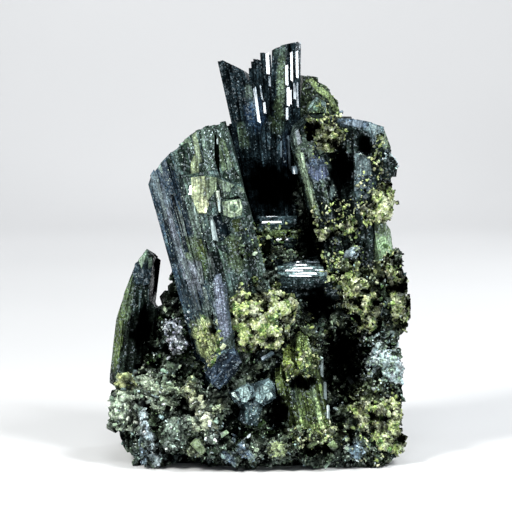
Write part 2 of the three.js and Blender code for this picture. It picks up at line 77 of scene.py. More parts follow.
def remeshed(node, voxel):
    """The node's surface as an even net."""
    obj = bpy.data.objects.new("net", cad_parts[node].data.copy())
    bpy.context.scene.collection.objects.link(obj)
    net = obj.modifiers.new("net", "REMESH")
    net.mode = "VOXEL"
    net.voxel_size = voxel * MM
    graph = bpy.context.evaluated_depsgraph_get()
    mesh = bpy.data.meshes.new_from_object(obj.evaluated_get(graph))
    arrays = mesh_arrays(mesh)
    bpy.data.objects.remove(obj)
    bpy.data.meshes.remove(mesh)
    return arrays


def bmesh_of(co, tris=()):
    """The arrays as a bmesh. A triangle that is there already is left out."""
    bm = bmesh.new()
    for p in co:
        bm.verts.new(p)
    bm.verts.ensure_lookup_table()
    for t in tris:
        try:
            bm.faces.new([bm.verts[i] for i in t])
        except ValueError:
            pass
    return bm


def arrays_of(bm):
    """A bmesh of triangles as arrays. It is freed."""
    bm.verts.index_update()
    co = np.array([v.co for v in bm.verts])
    tris = np.array([[v.index for v in f.verts] for f in bm.faces])
    bm.free()
    return co, tris


def split_long(bm, longest):
    """Splits each edge that is longer than longest says for it."""
    for _ in range(8):
        long = [e for e in bm.edges if e.calc_length() > longest(e)]
        if not long:
            break
        bmesh.ops.subdivide_edges(bm, edges=long, cuts=1)
        bmesh.ops.triangulate(bm, faces=[f for f in bm.faces if len(f.verts) > 3])


def stacked(surfaces):
    """Several (co, tris) as one."""
    starts = np.cumsum([0] + [len(co) for co, _ in surfaces[:-1]])
    return (
        np.vstack([co for co, _ in surfaces]),
        np.vstack([tris + start for (_, tris), start in zip(surfaces, starts)]),
    )


def merged(parts):
    """Several (co, tris, paint) as one."""
    return (*stacked([part[:2] for part in parts]), np.vstack([part[2] for part in parts]))


def surface_tree(co, tris):
    return BVHTree.FromPolygons(co.tolist(), tris.tolist())


def point_tree(points):
    tree = KDTree(len(points))
    for k, p in enumerate(points):
        tree.insert(p, k)
    tree.balance()
    return tree


def corner_normals(co, tris):
    face = np.cross(co[tris[:, 1]] - co[tris[:, 0]], co[tris[:, 2]] - co[tris[:, 0]])
    out = np.zeros_like(co)
    for k in range(3):
        np.add.at(out, tris[:, k], face)
    return unit(out)


def unit(v):
    return v / np.maximum(np.linalg.norm(v, axis=-1, keepdims=True), 1e-9)


def clamped(values):
    return np.clip(values, 0, 1)


# Hollows whose walls are painted nearly black, as painted shade: middle and radii.
SHADED_HOLLOWS = [
    ((17.2, -8, 20.6), (4.6, 12, 7.8)),
    ((11.4, -6, 31.4), (3.6, 8, 3.4)),
    ((3.4, -15, 10.6), (2.2, 7, 4)),
    ((2.6, 1, 54.6), (6.4, 8, 4.6)),
    ((-23, -4, 25.6), (3.4, 6, 5.4)),
    ((10.4, -2, 44.6), (3.6, 6, 5.6)),
    ((16.5, -2, 58.5), (2.2, 6, 4)),
    ((8.2, -14, 17.4), (2.8, 6, 1.7)),
    ((-20.6, 2, 36.4), (1, 9, 6)),
    ((13.8, -18, 4.6), (3, 4, 1.2)),
    ((17.6, -14, 7), (1, 5, 2.4)),
    ((-9.4, -14, 27.4), (0.9, 6, 5)),
    ((15.6, -8, 58), (2, 6, 6)),
    ((20.6, -6, 62.6), (1.4, 6, 2.4)),
    ((-14.8, -16, 12.6), (1.6, 5, 1.9)),
    ((-19, -16, 3.6), (2.2, 5, 1.2)),
    ((-24.2, -14, 9.6), (0.8, 5, 2.2)),
    ((-17.2, -16, 1.4), (1.8, 5, 1.8)),
]

FAR = 1.7  # how many radii from its middle a hollow's ragged edge can lie


def painted_hollow_shade(co):
    """How deep in a shaded hollow each point is, from 0 to 1: the share of painted shade there.
    """
    out = np.zeros(len(co))
    for centre, radii in SHADED_HOLLOWS:
        d = np.linalg.norm((co - np.array(centre)) / np.array(radii), axis=1)
        near = np.flatnonzero(d < FAR)
        ragged = d[near] + uneven(co[near], 1.6, 17.0, 0.8)
        out[near] = np.maximum(out[near], clamped((1.25 - ragged) / 0.5))
    return out


HOLLOW_SHADE = 0.97  # how much of its colour a surface loses deep in a hollow, as painted shade
KNEE = 0.07  # colours darker than this are deepened


def build(name, co, tris, paint, grow=None):
    """A mesh object from arrays. paint is a colour for each corner, and grow its place
    along the crystal's own axes."""
    co = np.clip(co, LOW, HIGH)
    # Painted shade: every surface is darkened deep in the hollows.
    paint = paint * (1 - HOLLOW_SHADE * painted_hollow_shade(co))[:, None]
    paint = paint * np.minimum(paint.max(1, keepdims=True) / KNEE, 1) ** 0.5
    mesh = bpy.data.meshes.new(name)
    mesh.vertices.add(len(co))
    mesh.vertices.foreach_set("co", (co * MM).astype(np.float32).ravel())
    mesh.loops.add(len(tris) * 3)
    mesh.loops.foreach_set("vertex_index", tris.astype(np.int32).ravel())
    mesh.polygons.add(len(tris))
    mesh.polygons.foreach_set("loop_start", np.arange(len(tris), dtype=np.int32) * 3)
    mesh.polygons.foreach_set("use_smooth", np.zeros(len(tris), bool))
    mesh.update(calc_edges=True)
    mesh.validate()
    layer = mesh.attributes.new("paint", "FLOAT_COLOR", "POINT")
    rgba = np.ones((len(co), 4), np.float32)
    rgba[:, :3] = paint
    layer.data.foreach_set("color", rgba.ravel())
    if grow is not None:
        layer = mesh.attributes.new("grow", "FLOAT_VECTOR", "POINT")
        layer.data.foreach_set("vector", grow.astype(np.float32).ravel())
    obj = bpy.data.objects.new(name, mesh)
    bpy.context.scene.collection.objects.link(obj)
    return obj


def dress(obj, material, slot, *nodes):
    obj.data.materials.append(material)
    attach(obj, "root")
    if nodes:
        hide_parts(*nodes)


# ---- Materials ----


def material(name):
    made = bpy.data.materials.new(name)
    made.use_nodes = True
    tree = made.node_tree
    tree.nodes.clear()
    out = tree.nodes.new("ShaderNodeOutputMaterial")
    shader = tree.nodes.new("ShaderNodeBsdfPrincipled")
    tree.links.new(shader.outputs[0], out.inputs[0])
    return made, tree, shader


def add(tree, kind, inputs=(), **settings):
    """A node with its settings and inputs. An input is a value or a socket."""
    node = tree.nodes.new(kind)
    for key, value in settings.items():
        setattr(node, key, value)
    for key, value in dict(inputs).items():
        if isinstance(value, bpy.types.NodeSocket):
            tree.links.new(value, node.inputs[key])
        else:
            node.inputs[key].default_value = value
    return node


def curve(tree, source, low, high, to_low=0.0, to_high=1.0):
    """Source from low..high spread over to_low..to_high, clamped."""
    inputs = {0: source, 1: low, 2: high, 3: to_low, 4: to_high}
    return add(tree, "ShaderNodeMapRange", inputs, interpolation_type="SMOOTHSTEP").outputs[0]


def math_node(tree, operation, *values):
    return add(tree, "ShaderNodeMath", dict(enumerate(values)), operation=operation).outputs[0]


def vector_node(tree, operation, inputs):
    return add(tree, "ShaderNodeVectorMath", inputs, operation=operation).outputs[0]


def mix_colour(tree, amount, a, b, blend="MIX"):
    inputs = {0: amount, 6: a, 7: b}
    return add(tree, "ShaderNodeMix", inputs, data_type="RGBA", blend_type=blend).outputs[2]


def grey(tree, tone):
    return add(tree, "ShaderNodeCombineColor", dict.fromkeys(range(3), tone)).outputs[0]


def stored(tree, name, output):
    return add(tree, "ShaderNodeAttribute", attribute_name=name).outputs[output]


def places(tree):
    return add(tree, "ShaderNodeTexCoord").outputs["Object"]


def noise_at(tree, vector, scale, detail, rough=0.55):
    inputs = {"Vector": vector, "Scale": scale, "Detail": detail, "Roughness": rough}
    return add(tree, "ShaderNodeTexNoise", inputs).outputs[0]


def cells_at(tree, spot, scale):
    """A random colour for each of many small cells."""
    return add(tree, "ShaderNodeTexVoronoi", {"Vector": spot, "Scale": scale}).outputs["Color"]


def numbers_at(tree, spot, scale):
    """Two random numbers from 0 to 1 for each of many small cells."""
    parts = add(tree, "ShaderNodeSeparateColor", {0: cells_at(tree, spot, scale)}).outputs
    return parts[0], parts[2]


def tilted_cells(tree, spot, scale, amount):
    """The surface's normal, tilted a little in each of many small cells."""
    off = vector_node(tree, "SUBTRACT", {0: cells_at(tree, spot, scale), 1: (0.5, 0.5, 0.5)})
    off = vector_node(tree, "SCALE", {0: off, "Scale": amount})
    normal = add(tree, "ShaderNodeNewGeometry").outputs["Normal"]
    return vector_node(tree, "ADD", {0: off, 1: normal})


def brightness(tree, paint):
    """0 where the paint is black, 1 where it isn't."""
    green = add(tree, "ShaderNodeSeparateColor", {0: paint}).outputs[1]
    return curve(tree, green, 0.002, 0.014)


def tinted(tree, paint, tone, *more):
    """The paint times each of the tones."""
    for other in more:
        tone = math_node(tree, "MULTIPLY", tone, other)
    return mix_colour(tree, 1.0, paint, grey(tree, tone), "MULTIPLY")


def dust_and_sparkle(tree, paint, colour, amount, dust):
    """The colour with pale flecks over it, except where the paint is black: dust on the grains,
    frost and painted sparkle on the crystals.
    """
    amount = math_node(tree, "MULTIPLY", amount, brightness(tree, paint))
    return mix_colour(tree, amount, colour, (*dust, 1.0))


RELIEF = 0.00008  # depth of the finest relief, in metres


def faceted(tree, shader, paint, colour, facet, roughness, least_sheen, relief):
    """Gives the shader its colour and relief, and its own roughness and sheen where facet
    differs. Relief is its strength, its height and the normal under it."""
    sheen = curve(tree, facet, 0.1, 0.24, 1.0, least_sheen)
    sheen = math_node(tree, "MULTIPLY", sheen, brightness(tree, paint))
    strength, height, normal = relief
    inputs = {"Strength": strength, "Distance": RELIEF, "Height": height, "Normal": normal}
    for key, socket in (
        ("Base Color", colour),
        ("Roughness", curve(tree, facet, 0.0, 1.0, *roughness)),
        ("Specular IOR Level", sheen),
        ("Normal", add(tree, "ShaderNodeBump", inputs).outputs[0]),
    ):
        tree.links.new(socket, shader.inputs[key])


# How many of each pattern's cells or waves go into a metre.
FACETS, GRIT, FLECKS, BLOTCHES = 3100.0, 2600.0, 5200.0, 330.0
SPECKS, STREAKS = 4200.0, 900.0


def crystal_material(name, frost_and_sparkle, frost_and_sparkle_share, smooth, rough, streak, grain=1.0):
    """Epidote: striations along the crystal, and in each small cell its own tone, sheen
    and tilt. Pale flecks lie on some cells, partly frost and partly painted sparkle; the share
    says how many, grain how much the tones differ."""
    made, tree, shader = material(name)
    paint = stored(tree, "paint", "Color")
    grow = stored(tree, "grow", "Vector")
    spot = places(tree)
    along = vector_node(tree, "MULTIPLY", {0: grow, 1: (3.0, 3.0, 0.16)})
    lines = noise_at(tree, along, 1.0, 3.0, 0.6)
    blotch = noise_at(tree, spot, BLOTCHES, 5.0, 0.65)
    grit = noise_at(tree, spot, GRIT, 2.0, 0.7)
    own, facet = numbers_at(tree, spot, FACETS)
    tone = math_node(tree, "POWER", own, 1.8)
    tone = math_node(tree, "MULTIPLY_ADD", tone, 1.7 * grain, 1.0 - 0.68 * grain)
    colour = tinted(
        tree,
        paint,
        tone,
        curve(tree, lines, 0.35, 0.65, 1 - streak, 1 + streak),
        curve(tree, blotch, 0.32, 0.68, 0.6, 1.4),
        curve(tree, grit, 0.35, 0.65, 0.6, 1.4),
    )
    fleck, _ = numbers_at(tree, spot, FLECKS)
    fleck = math_node(tree, "ADD", fleck, curve(tree, blotch, 0.4, 0.6, 0.0, frost_and_sparkle_share))
    colour = dust_and_sparkle(tree, paint, colour, curve(tree, fleck, 0.985, 1.0, 0.0, 0.85), frost_and_sparkle)
    relief = (0.4, lines, tilted_cells(tree, spot, FACETS, 0.25))
    faceted(tree, shader, paint, colour, facet, (smooth, rough), 0.02, relief)
    shader.inputs["IOR"].default_value = 1.7
    shader.inputs["Specular Tint"].default_value = (0.78, 0.93, 1.0, 1.0)
    return made


def glint_material(name):
    """A smooth, clean face, faintly streaked."""
    made, tree, shader = material(name)
    streak = noise_at(tree, places(tree), STREAKS, 3.0, 0.6)
    colour = tinted(tree, stored(tree, "paint", "Color"), curve(tree, streak, 0.3, 0.7, 0.6, 1.3))
    tree.links.new(colour, shader.inputs["Base Color"])
    tree.links.new(curve(tree, streak, 0.3, 0.7, 0.05, 0.16), shader.inputs["Roughness"])
    shader.inputs["IOR"].default_value = 1.75
    return made


def grain_material(name, smooth, rough, mottle, pale, dust):
    """Grains whose colour is their own, mottled, with dull and glassy facets."""
    made, tree, shader = material(name)
    paint = stored(tree, "paint", "Color")
    spot = places(tree)
    blotch = noise_at(tree, spot, STREAKS, 4.0, 0.65)
    speck = noise_at(tree, spot, SPECKS, 2.0, 0.7)
    colour = tinted(
        tree,
        paint,
        curve(tree, blotch, 0.3, 0.7, 1.0 - mottle, 1.0 + mottle),
        curve(tree, noise_at(tree, spot, GRIT, 2.0, 0.7), 0.35, 0.65, 0.55, 1.45),
    )
    colour = dust_and_sparkle(tree, paint, colour, curve(tree, speck, 0.56, 0.75, 0.0, dust), pale)
    _, facet = numbers_at(tree, spot, GRIT)
    relief = (0.6, speck, tilted_cells(tree, spot, GRIT, 0.25))
    faceted(tree, shader, paint, colour, facet, (smooth, rough), 0.04, relief)
    shader.inputs["IOR"].default_value = 1.65
    shader.inputs["Specular Tint"].default_value = (0.88, 1.0, 0.94, 1.0)
    return made


# name, the colour and share of the pale flecks (frost and painted sparkle), least and most
# roughness, streaks, grain
DARK = crystal_material("dark_epidote", (0.17, 0.23, 0.26), 0.04, 0.14, 0.5, 0.5)
SLAB = crystal_material("slab_epidote", (0.26, 0.34, 0.33), 0.05, 0.2, 0.6, 0.5, 0.8)
STEP = crystal_material("slab_step", (0.4, 0.48, 0.4), 0.02, 0.2, 0.6, 0.55, 0.45)
OLIVE = crystal_material("olive_epidote", (0.36, 0.46, 0.28), 0.04, 0.25, 0.6, 0.5)
SLATE = crystal_material("slate_crystal", (0.38, 0.5, 0.56), 0.04, 0.22, 0.5, 0.4, 0.8)
PALE = crystal_material("pale_crystal", (0.42, 0.55, 0.42), 0.03, 0.35, 0.6, 0.25, 0.6)
GLINT = glint_material("bright_face")
# name, least and most roughness, mottling, dust's colour and share
CRUST = grain_material("green_crust", 0.34, 0.7, 0.3, (0.6, 0.66, 0.46), 0.3)
BLUE_CRUST = grain_material("pale_crust", 0.3, 0.6, 0.25, (0.75, 0.88, 0.88), 0.4)
MATRIX = grain_material("rock_matrix", 0.35, 0.8, 0.4, (0.5, 0.6, 0.5), 0.4)

# ---- Crystals ----


def axes(at, lean=0.0, pitch=0.0, turn=0.0):
    """The crystal's own frame: its middle point and its axes u, v, w as columns."""
    a, b, c = (math.radians(x) for x in (lean, pitch, turn))
    about_y = np.array([[math.cos(a), 0, math.sin(a)], [0, 1, 0], [-math.sin(a), 0, math.cos(a)]])
    about_x = np.array([[1, 0, 0], [0, math.cos(b), -math.sin(b)], [0, math.sin(b), math.cos(b)]])
    about_z = np.array([[math.cos(c), -math.sin(c), 0], [math.sin(c), math.cos(c), 0], [0, 0, 1]])
    return np.array(at, float), about_y @ about_x @ about_z


# Each crystal's frames, with the box in u, v, w that each of them holds.
CRYSTALS = {
    "tall_slab_crystal": [(axes((-9, -4, 6), -15), (-1, 19, -9, 8, -1, 60))],
    "twin_top_crystals": [
        (axes((-2, 4.2, 50), -12.6, 0, -12), (0, 5, -0.8, 4.4, -4, 31)),
        (axes((-2.5, 1.7, 50), -7.5, 0, -26), (0, 5.6, -0.4, 4.3, -4, 28)),
        (axes((-0.4, 3.8, 50), -3.4, 0, -28), (0, 3.3, -0.2, 3.3, -4, 31.4)),
        (axes((2.2, 3.2, 50), 0.4, 0, -30), (-0.1, 4, -0.3, 4.9, -4, 33.3)),
        (axes((1, 1.6, 46), -1.5, 0, -28), (-0.2, 5, -0.2, 3, 0, 23)),
    ],
    "right_block_crystal": [
        (axes((13.4, -6.5, 38), -14.5), (-1, 7.3, -2.4, 12.2, 0, 31)),
        (axes((15.2, -2, 36), -1), (-1.2, 11.2, -5.6, 9.3, -2, 33.5)),
    ],
    "slate_blue_prism": [(axes((-6.2, -15.6, 23.2), -7, 0, -20), (-2, 2, -2, 3, -1, 17))],
    "slate_blue_block": [(axes((-8.8, -15.5, 18.2), 38, 8, 20), (-3, 3, -4, 4, -2, 9))],
    "pale_foot_crystals": [
        (axes((-4.8, -16.5, 14.2), 62, -6), (-2, 1.8, -2.5, 2.5, -1, 6)),
        (axes((-1, -16, 14.6), 70, 8, 30), (-2, 1.8, -2.5, 2.5, -1, 6)),
        (axes((-2.2, -16.4, 9.6), 16, 0, 24), (-2, 1.8, -2, 2.2, -1, 6)),
    ],
    "olive_blades": [(axes((10.8, -12, 4.6), -12, 0, -8), (-6, 5, -4, 4, -1, 24))],
    "cross_lying_crystals": [
        (axes((14.6, -2, 33.4), -90), (-1.2, 7, -5.2, 4.1, -1.1, 13.1)),
        (axes((7.6, 1.5, 42), -90, 3), (-5.1, 9, -6, 4.2, -0.2, 14.2)),
    ],
    "olive_back_crystal": [(axes((11, 9, 48), 8, 0, 5), (-8, 4, -8, 6, -1, 30))],
    "left_wedge_crystal": [(axes((-25.4, 2, 14), 7, 0, -10), (-6, 4, -6, 6, -1, 30))],
    "pale_edge_crystal": [(axes((25, -1, 32), -9, 0, 6), (-4, 4, -6, 7, -1, 19))],
}

# The longest edge of a crystal's net, on its front and elsewhere, so that it carries colour.
FINE, COARSE = 0.9, 2.6
SLIT = 0.012  # half the width of the wall between two strips
APART = 40.0  # how far apart the noise of two frames of a crystal lies


def owner_of(face, frames):
    """Which of the frames a face belongs to: the one whose box it lies in, or nearly."""
    centre, normal = np.array(face.calc_center_median()), np.array(face.normal)
    scores = []
    for (at, turn), box in frames:
        local = (centre - at) @ turn
        out = sum(max(box[2 * i] - local[i], local[i] - box[2 * i + 1], 0) for i in range(3))
        along = abs(normal @ turn[:, 2])
        scores.append(out * 10 + min(along, 1 - along))
    return int(np.argmin(scores))


def cut_strips(bm, owner, frames, rng, spacing, bands):
    """Cuts each frame's faces into strips and, at a few breaks, across. Gives each frame's
    cuts, breaks and extent."""
    cuts = []
    for k, ((at, turn), _) in enumerate(frames):
        own = np.array([v.co for f in bm.faces if f[owner] == k for v in f.verts])
        if not len(own):
            cuts.append(None)
            continue
        local = (own - at) @ turn
        low, high = local.min(0), local.max(0)
        across, at_u = [], low[0]
        while True:
            at_u += rng.uniform(*spacing)
            if at_u > high[0] - spacing[0]:
                break
            across.append(at_u)
        breaks = np.sort(rng.uniform(low[2] + 1, high[2] - 0.5, bands))
        for axis, level in [(0, u) for u in across] + [(2, w) for w in breaks]:
            for side in (-SLIT, SLIT):
                faces = [f for f in bm.faces if f[owner] == k]
                edges = {e for f in faces for e in f.edges}
                verts = {v for f in faces for v in f.verts}
                bmesh.ops.bisect_plane(
                    bm,
                    geom=[*verts, *edges, *faces],
                    dist=1e-5,
                    plane_co=Vector(at + turn[:, axis] * (level + side)),
                    plane_no=Vector(turn[:, axis]),
                )
        cuts.append((np.array(across), breaks, low, high))
    return cuts


BROKEN = 0.22  # the share of the strips' pieces that are broken back
SIDE = 0.5  # how close to a frame's side a corner lies that moves with that side
TAPER = 8  # how far below a frame's top its strips begin to differ in height


def strip_moves(rng, local, facing, cut, depth, tilt, ends):
    """How far each corner of one frame's strips moves, along the frame's axes."""
    across, breaks, low, high = cut
    strip = np.searchsorted(across, local[:, 0])
    band = np.searchsorted(breaks, local[:, 2])
    shape = (2, len(across) + 1, len(breaks) + 1)
    steps = rng.uniform(-1, 0.35, shape[:2])[:, :, None] * depth
    broken = (rng.uniform(0, 1, shape) < BROKEN) * rng.uniform(-1.6, 0.0, shape) * depth
    steps = steps + broken
    back = (facing[:, 1] > 0).astype(int)
    edges = np.concatenate([[low[0]], across, [high[0]]])
    middle = (edges[strip] + edges[strip + 1]) / 2
    slope = rng.uniform(-tilt, tilt, shape[1:])[strip, band] * (local[:, 0] - middle)
    amount = steps[back, strip, band] - np.abs(slope) * 0.5 + slope
    amount = amount * clamped(np.abs(facing[:, 1]) * 2.5)
    move = np.zeros_like(local)
    move[:, 1] = np.where(back == 1, amount, -amount)
    side = rng.uniform(-1, 0.2, len(breaks) + 1)[band] * depth * 0.8
    edge = (np.abs(facing[:, 0]) > 0.6) & (
        (local[:, 0] < low[0] + SIDE) | (local[:, 0] > high[0] - SIDE)
    )
    move[:, 0] = np.where(edge, np.sign(facing[:, 0]) * side, 0)
    drop = rng.uniform(-1, 0, len(across) + 1)[strip] * ends
    reach = clamped((local[:, 2] - (high[2] - TAPER)) / TAPER)
    move[:, 2] = drop * np.where(facing[:, 2] > 0.35, 1.0, reach**3)
    return move


def striate(node, spacing, depth, tilt, ends, bands, seed):
    """A crystal's solid cut into fine strips along its length. Each strip stands out or
    back by its own step, is tilted a little, changes at a few breaks, and ends at its
    own height."""
    rng = np.random.default_rng(seed)
    frames = CRYSTALS[node]
    bm = bmesh_of(*cad_arrays(node))
    bmesh.ops.remove_doubles(bm, verts=bm.verts, dist=1e-4)
    bmesh.ops.dissolve_limit(bm, angle_limit=math.radians(0.3), verts=bm.verts, edges=bm.edges)
    owner = bm.faces.layers.int.new("owner")
    for f in bm.faces:
        f[owner] = owner_of(f, frames)
    cuts = cut_strips(bm, owner, frames, rng, spacing, bands)
    bm.verts.ensure_lookup_table()
    bm.verts.index_update()
    place = np.array([v.co for v in bm.verts])
    normal = np.zeros_like(place)
    holder = np.full(len(place), -1)
    for f in bm.faces:
        for v in f.verts:
            normal[v.index] += np.array(f.normal)
            holder[v.index] = f[owner]
    grow = np.zeros_like(place)
    shift = np.zeros_like(place)
    for k, ((at, turn), _) in enumerate(frames):
        mine = holder == k
        if cuts[k] is None or not mine.any():
            continue
        local = (place[mine] - at) @ turn
        move = strip_moves(rng, local, unit(normal[mine]) @ turn, cuts[k], depth, tilt, ends)
        grow[mine] = local + np.array([0, 0, APART * k])
        shift[mine] = move @ turn.T
    kept = bm.verts.layers.float_vector.new("grow")
    for v, move, own in zip(bm.verts, shift, grow):
        v.co += Vector(move)
        v[kept] = Vector(own)
    bmesh.ops.triangulate(bm, faces=bm.faces)
    split_long(bm, lambda e: FINE if min(f.normal.y for f in e.link_faces) < -0.3 else COARSE)
    grow = np.array([v[kept] for v in bm.verts])
    return (*arrays_of(bm), grow)


# ---- Colour ----


def fuzz(co, size, seed):
    """Smooth noise from 0 to 1 at each point, with features of that size in mm."""
    out = np.empty(len(co))
    for i, p in enumerate(co):
        out[i] = noise.fractal(Vector(p / size) + Vector((seed, 0, 0)), 1.0, 2.0, 3)
    return clamped(0.5 + 0.6 * out)


def uneven(co, size, seed, amount):
    """Smooth noise round 0, up to half the amount either way."""
    return (fuzz(co, size, seed) - 0.5) * amount


def blotches(co, size, seed, gain, cut, low=0, high=1):
    """Smooth noise with harder edges, from low to high."""
    return np.clip(fuzz(co, size, seed) * gain - cut, low, high)


def zone(co, centre, radii, soft, wobble):
    """How far inside an ellipsoid each point is: 1 in the middle, 0 outside. Its edge is
    that soft, and wobbles by that much."""
    d = np.linalg.norm((co - np.array(centre)) / np.array(radii), axis=1)
    d = d + uneven(co, 2.2, 7.0, wobble)
    return clamped((1 + soft - d) / soft / 2)


def in_box(co, x, z, half_width, half_height, lean):
    """Each point's place in a box that leans towards +x by lean degrees, seen from the
    front, as shares of the box's half sizes."""
    turn = math.radians(lean)
    dx, dz = co[:, 0] - x, co[:, 2] - z
    u = (dx * math.cos(turn) - dz * math.sin(turn)) / half_width
    return u, (dx * math.sin(turn) + dz * math.cos(turn)) / half_height


def patch(co, box, ragged):
    """How far inside a leaning, rounded rectangle each point is, with a ragged edge."""
    u, v = in_box(co, *box)
    far = (np.abs(u) ** 3 + np.abs(v) ** 3) ** (1 / 3) + ragged
    return clamped((1.15 - far) / 0.3)


def blend(base, amount, colour):
    return base * (1 - amount[:, None]) + np.array(colour) * amount[:, None]


BLACK_GREEN = (0.004, 0.006, 0.004)
NIGHT_BLUE = (0.006, 0.011, 0.017)
STEEL = (0.06, 0.09, 0.105)
GREY_GREEN = (0.085, 0.12, 0.088)
SAGE = (0.2, 0.265, 0.18)
CREAM = (0.47, 0.51, 0.34)
LEAF = (0.2, 0.255, 0.09)
YELLOW_GREEN = (0.335, 0.375, 0.17)
OLIVE_DARK = (0.022, 0.042, 0.013)
ICE = (0.52, 0.64, 0.66)
MIST = (0.24, 0.33, 0.33)


def pick(rng, count, palette):
    """One colour for each grain from a palette of (share, colour), each a little off."""
    shares = np.array([part for part, _ in palette], float)
    colours = np.array([colour for _, colour in palette])
    chosen = rng.choice(len(palette), count, p=shares / shares.sum())
    tone = rng.uniform(0.7, 1.25, (count, 1)) * rng.uniform(0.93, 1.07, (count, 3))
    return colours[chosen] * tone


def alike(rng, spots, palette):
    """Colours from a palette in its order, where neighbours are alike."""
    shares = np.cumsum([part for part, _ in palette])
    stops = (shares - shares[0] / 2) / shares[-1]
    level = uneven(spots, 1.5, 91.0, 1.6) + 0.52 + rng.normal(0, 0.24, len(spots))
    colours = np.array([colour for _, colour in palette])
    out = np.stack([np.interp(level, stops, colours[:, k]) for k in range(3)], 1)
    tone = rng.uniform(0.6, 1.4, (len(spots), 1))
    return out * tone * rng.uniform(0.94, 1.06, (len(spots), 3))


BRIGHTEST = 0.62  # what a bright grain's strongest channel stays below


def softened(colours):
    """The same hues, with bright ones held below the brightest."""
    peak = np.maximum(colours.max(1, keepdims=True), 1e-6)
    return colours * BRIGHTEST * (1 - np.exp(-peak / BRIGHTEST)) / peak


# Palettes run from dark to bright, each colour after its share.
GREENS = [
    (1.6, OLIVE_DARK),
    (2.6, (0.11, 0.15, 0.045)),
    (3, LEAF),
    (3.2, YELLOW_GREEN),
    (3, (0.36, 0.4, 0.24)),
    (3.6, CREAM),
]
BLUES = [(1, (0.2, 0.27, 0.2)), (2, MIST), (5, ICE), (2, (0.68, 0.76, 0.78))]
OLIVES = [(3, BLACK_GREEN), (5, OLIVE_DARK), (3, LEAF), (1, YELLOW_GREEN), (1, SAGE)]
KNOB_GREYS = [
    (4, BLACK_GREEN),
    (2, (0.03, 0.034, 0.045)),
    (3, (0.13, 0.14, 0.16)),
    (2, (0.32, 0.34, 0.38)),
    (1, (0.5, 0.54, 0.56)),
]
DARKS = [(4, BLACK_GREEN), (3, NIGHT_BLUE), (2.5, STEEL), (1.5, MIST), (1, ICE)]

# ---- Grains ----


def hull_of(points):
    bm = bmesh_of(points)
    made = bmesh.ops.convex_hull(bm, input=bm.verts)
    loose = [v for v in made["geom_interior"] if isinstance(v, bmesh.types.BMVert)]
    bmesh.ops.delete(bm, geom=loose, context="VERTS")
    bmesh.ops.triangulate(bm, faces=bm.faces)
    bmesh.ops.recalc_face_normals(bm, faces=bm.faces)
    return arrays_of(bm)


def templates(seed, count, kind):
    """Small convex solids about one unit across: chips, splinters, blocks or wedge-ended
    prisms."""
    rng = np.random.default_rng(seed)
    made = []
    for _ in range(count):
        if kind == "chip":
            points = unit(rng.normal(size=(9, 3))) * rng.uniform(0.38, 0.55, (9, 1))
        elif kind == "splinter":
            points = np.vstack([np.eye(3), -np.eye(3)]) * rng.uniform(0.35, 0.6, (6, 1))
            points = points + rng.uniform(-0.12, 0.12, (6, 3))
        elif kind == "block":
            ends = (-0.5, 0.5)
            points = np.array([[x, y, z] for x in ends for y in ends for z in ends])
            points = points * rng.uniform(0.7, 1.1, (8, 3))
        else:
            flat = rng.uniform(0.45, 0.8)
            ring = np.array(
                [[0.5, 0], [0.28, 0.42], [-0.28, 0.42], [-0.5, 0], [-0.28, -0.42], [0.28, -0.42]]
            )
            ring[:, 1] *= flat / 0.84
            slope = rng.uniform(-0.5, 0.5, 2)
            foot = np.c_[ring, np.full(6, -0.5)]
            rim = np.c_[ring, 0.28 + ring @ slope * 0.5]
            ridge = np.array([[-0.2, 0, 0.5], [0.2, 0, 0.5 - rng.uniform(0, 0.15)]])
            points = np.vstack([foot, rim, ridge])
        made.append(hull_of(points))
    return made


CHIPS = templates(1, 10, "chip")
BLOCKS = templates(2, 8, "block")
PRISMS = templates(3, 8, "prism")
SPLINTERS = templates(4, 10, "splinter")

GRID = 4096  # more than the cells of a grid in any direction


def one_per_cell(points, spacing):
    """The first point in each cell of a grid, as indices."""
    cell = np.floor(points / spacing).astype(np.int64)
    key = (cell[:, 0] * GRID + cell[:, 1]) * GRID + cell[:, 2]
    return np.unique(key, return_index=True)[1]


DRAWS = 2.2  # random spots drawn for each square of the spacing


def sample(rng, co, tris, spacing):
    """Points spread over a surface, about spacing apart, with their normals."""
    a, b, c = co[tris[:, 0]], co[tris[:, 1]], co[tris[:, 2]]
    cross = np.cross(b - a, c - a)
    area = np.linalg.norm(cross, axis=1) / 2
    count = int(area.sum() / spacing**2 * DRAWS)
    chosen = rng.choice(len(tris), count, p=area / area.sum())
    s, t = rng.uniform(0, 1, (2, count))
    flip = s + t > 1
    s[flip], t[flip] = 1 - s[flip], 1 - t[flip]
    spots = a[chosen] + (b - a)[chosen] * s[:, None] + (c - a)[chosen] * t[:, None]
    first = one_per_cell(spots, spacing)
    return spots[first], unit(cross[chosen])[first]


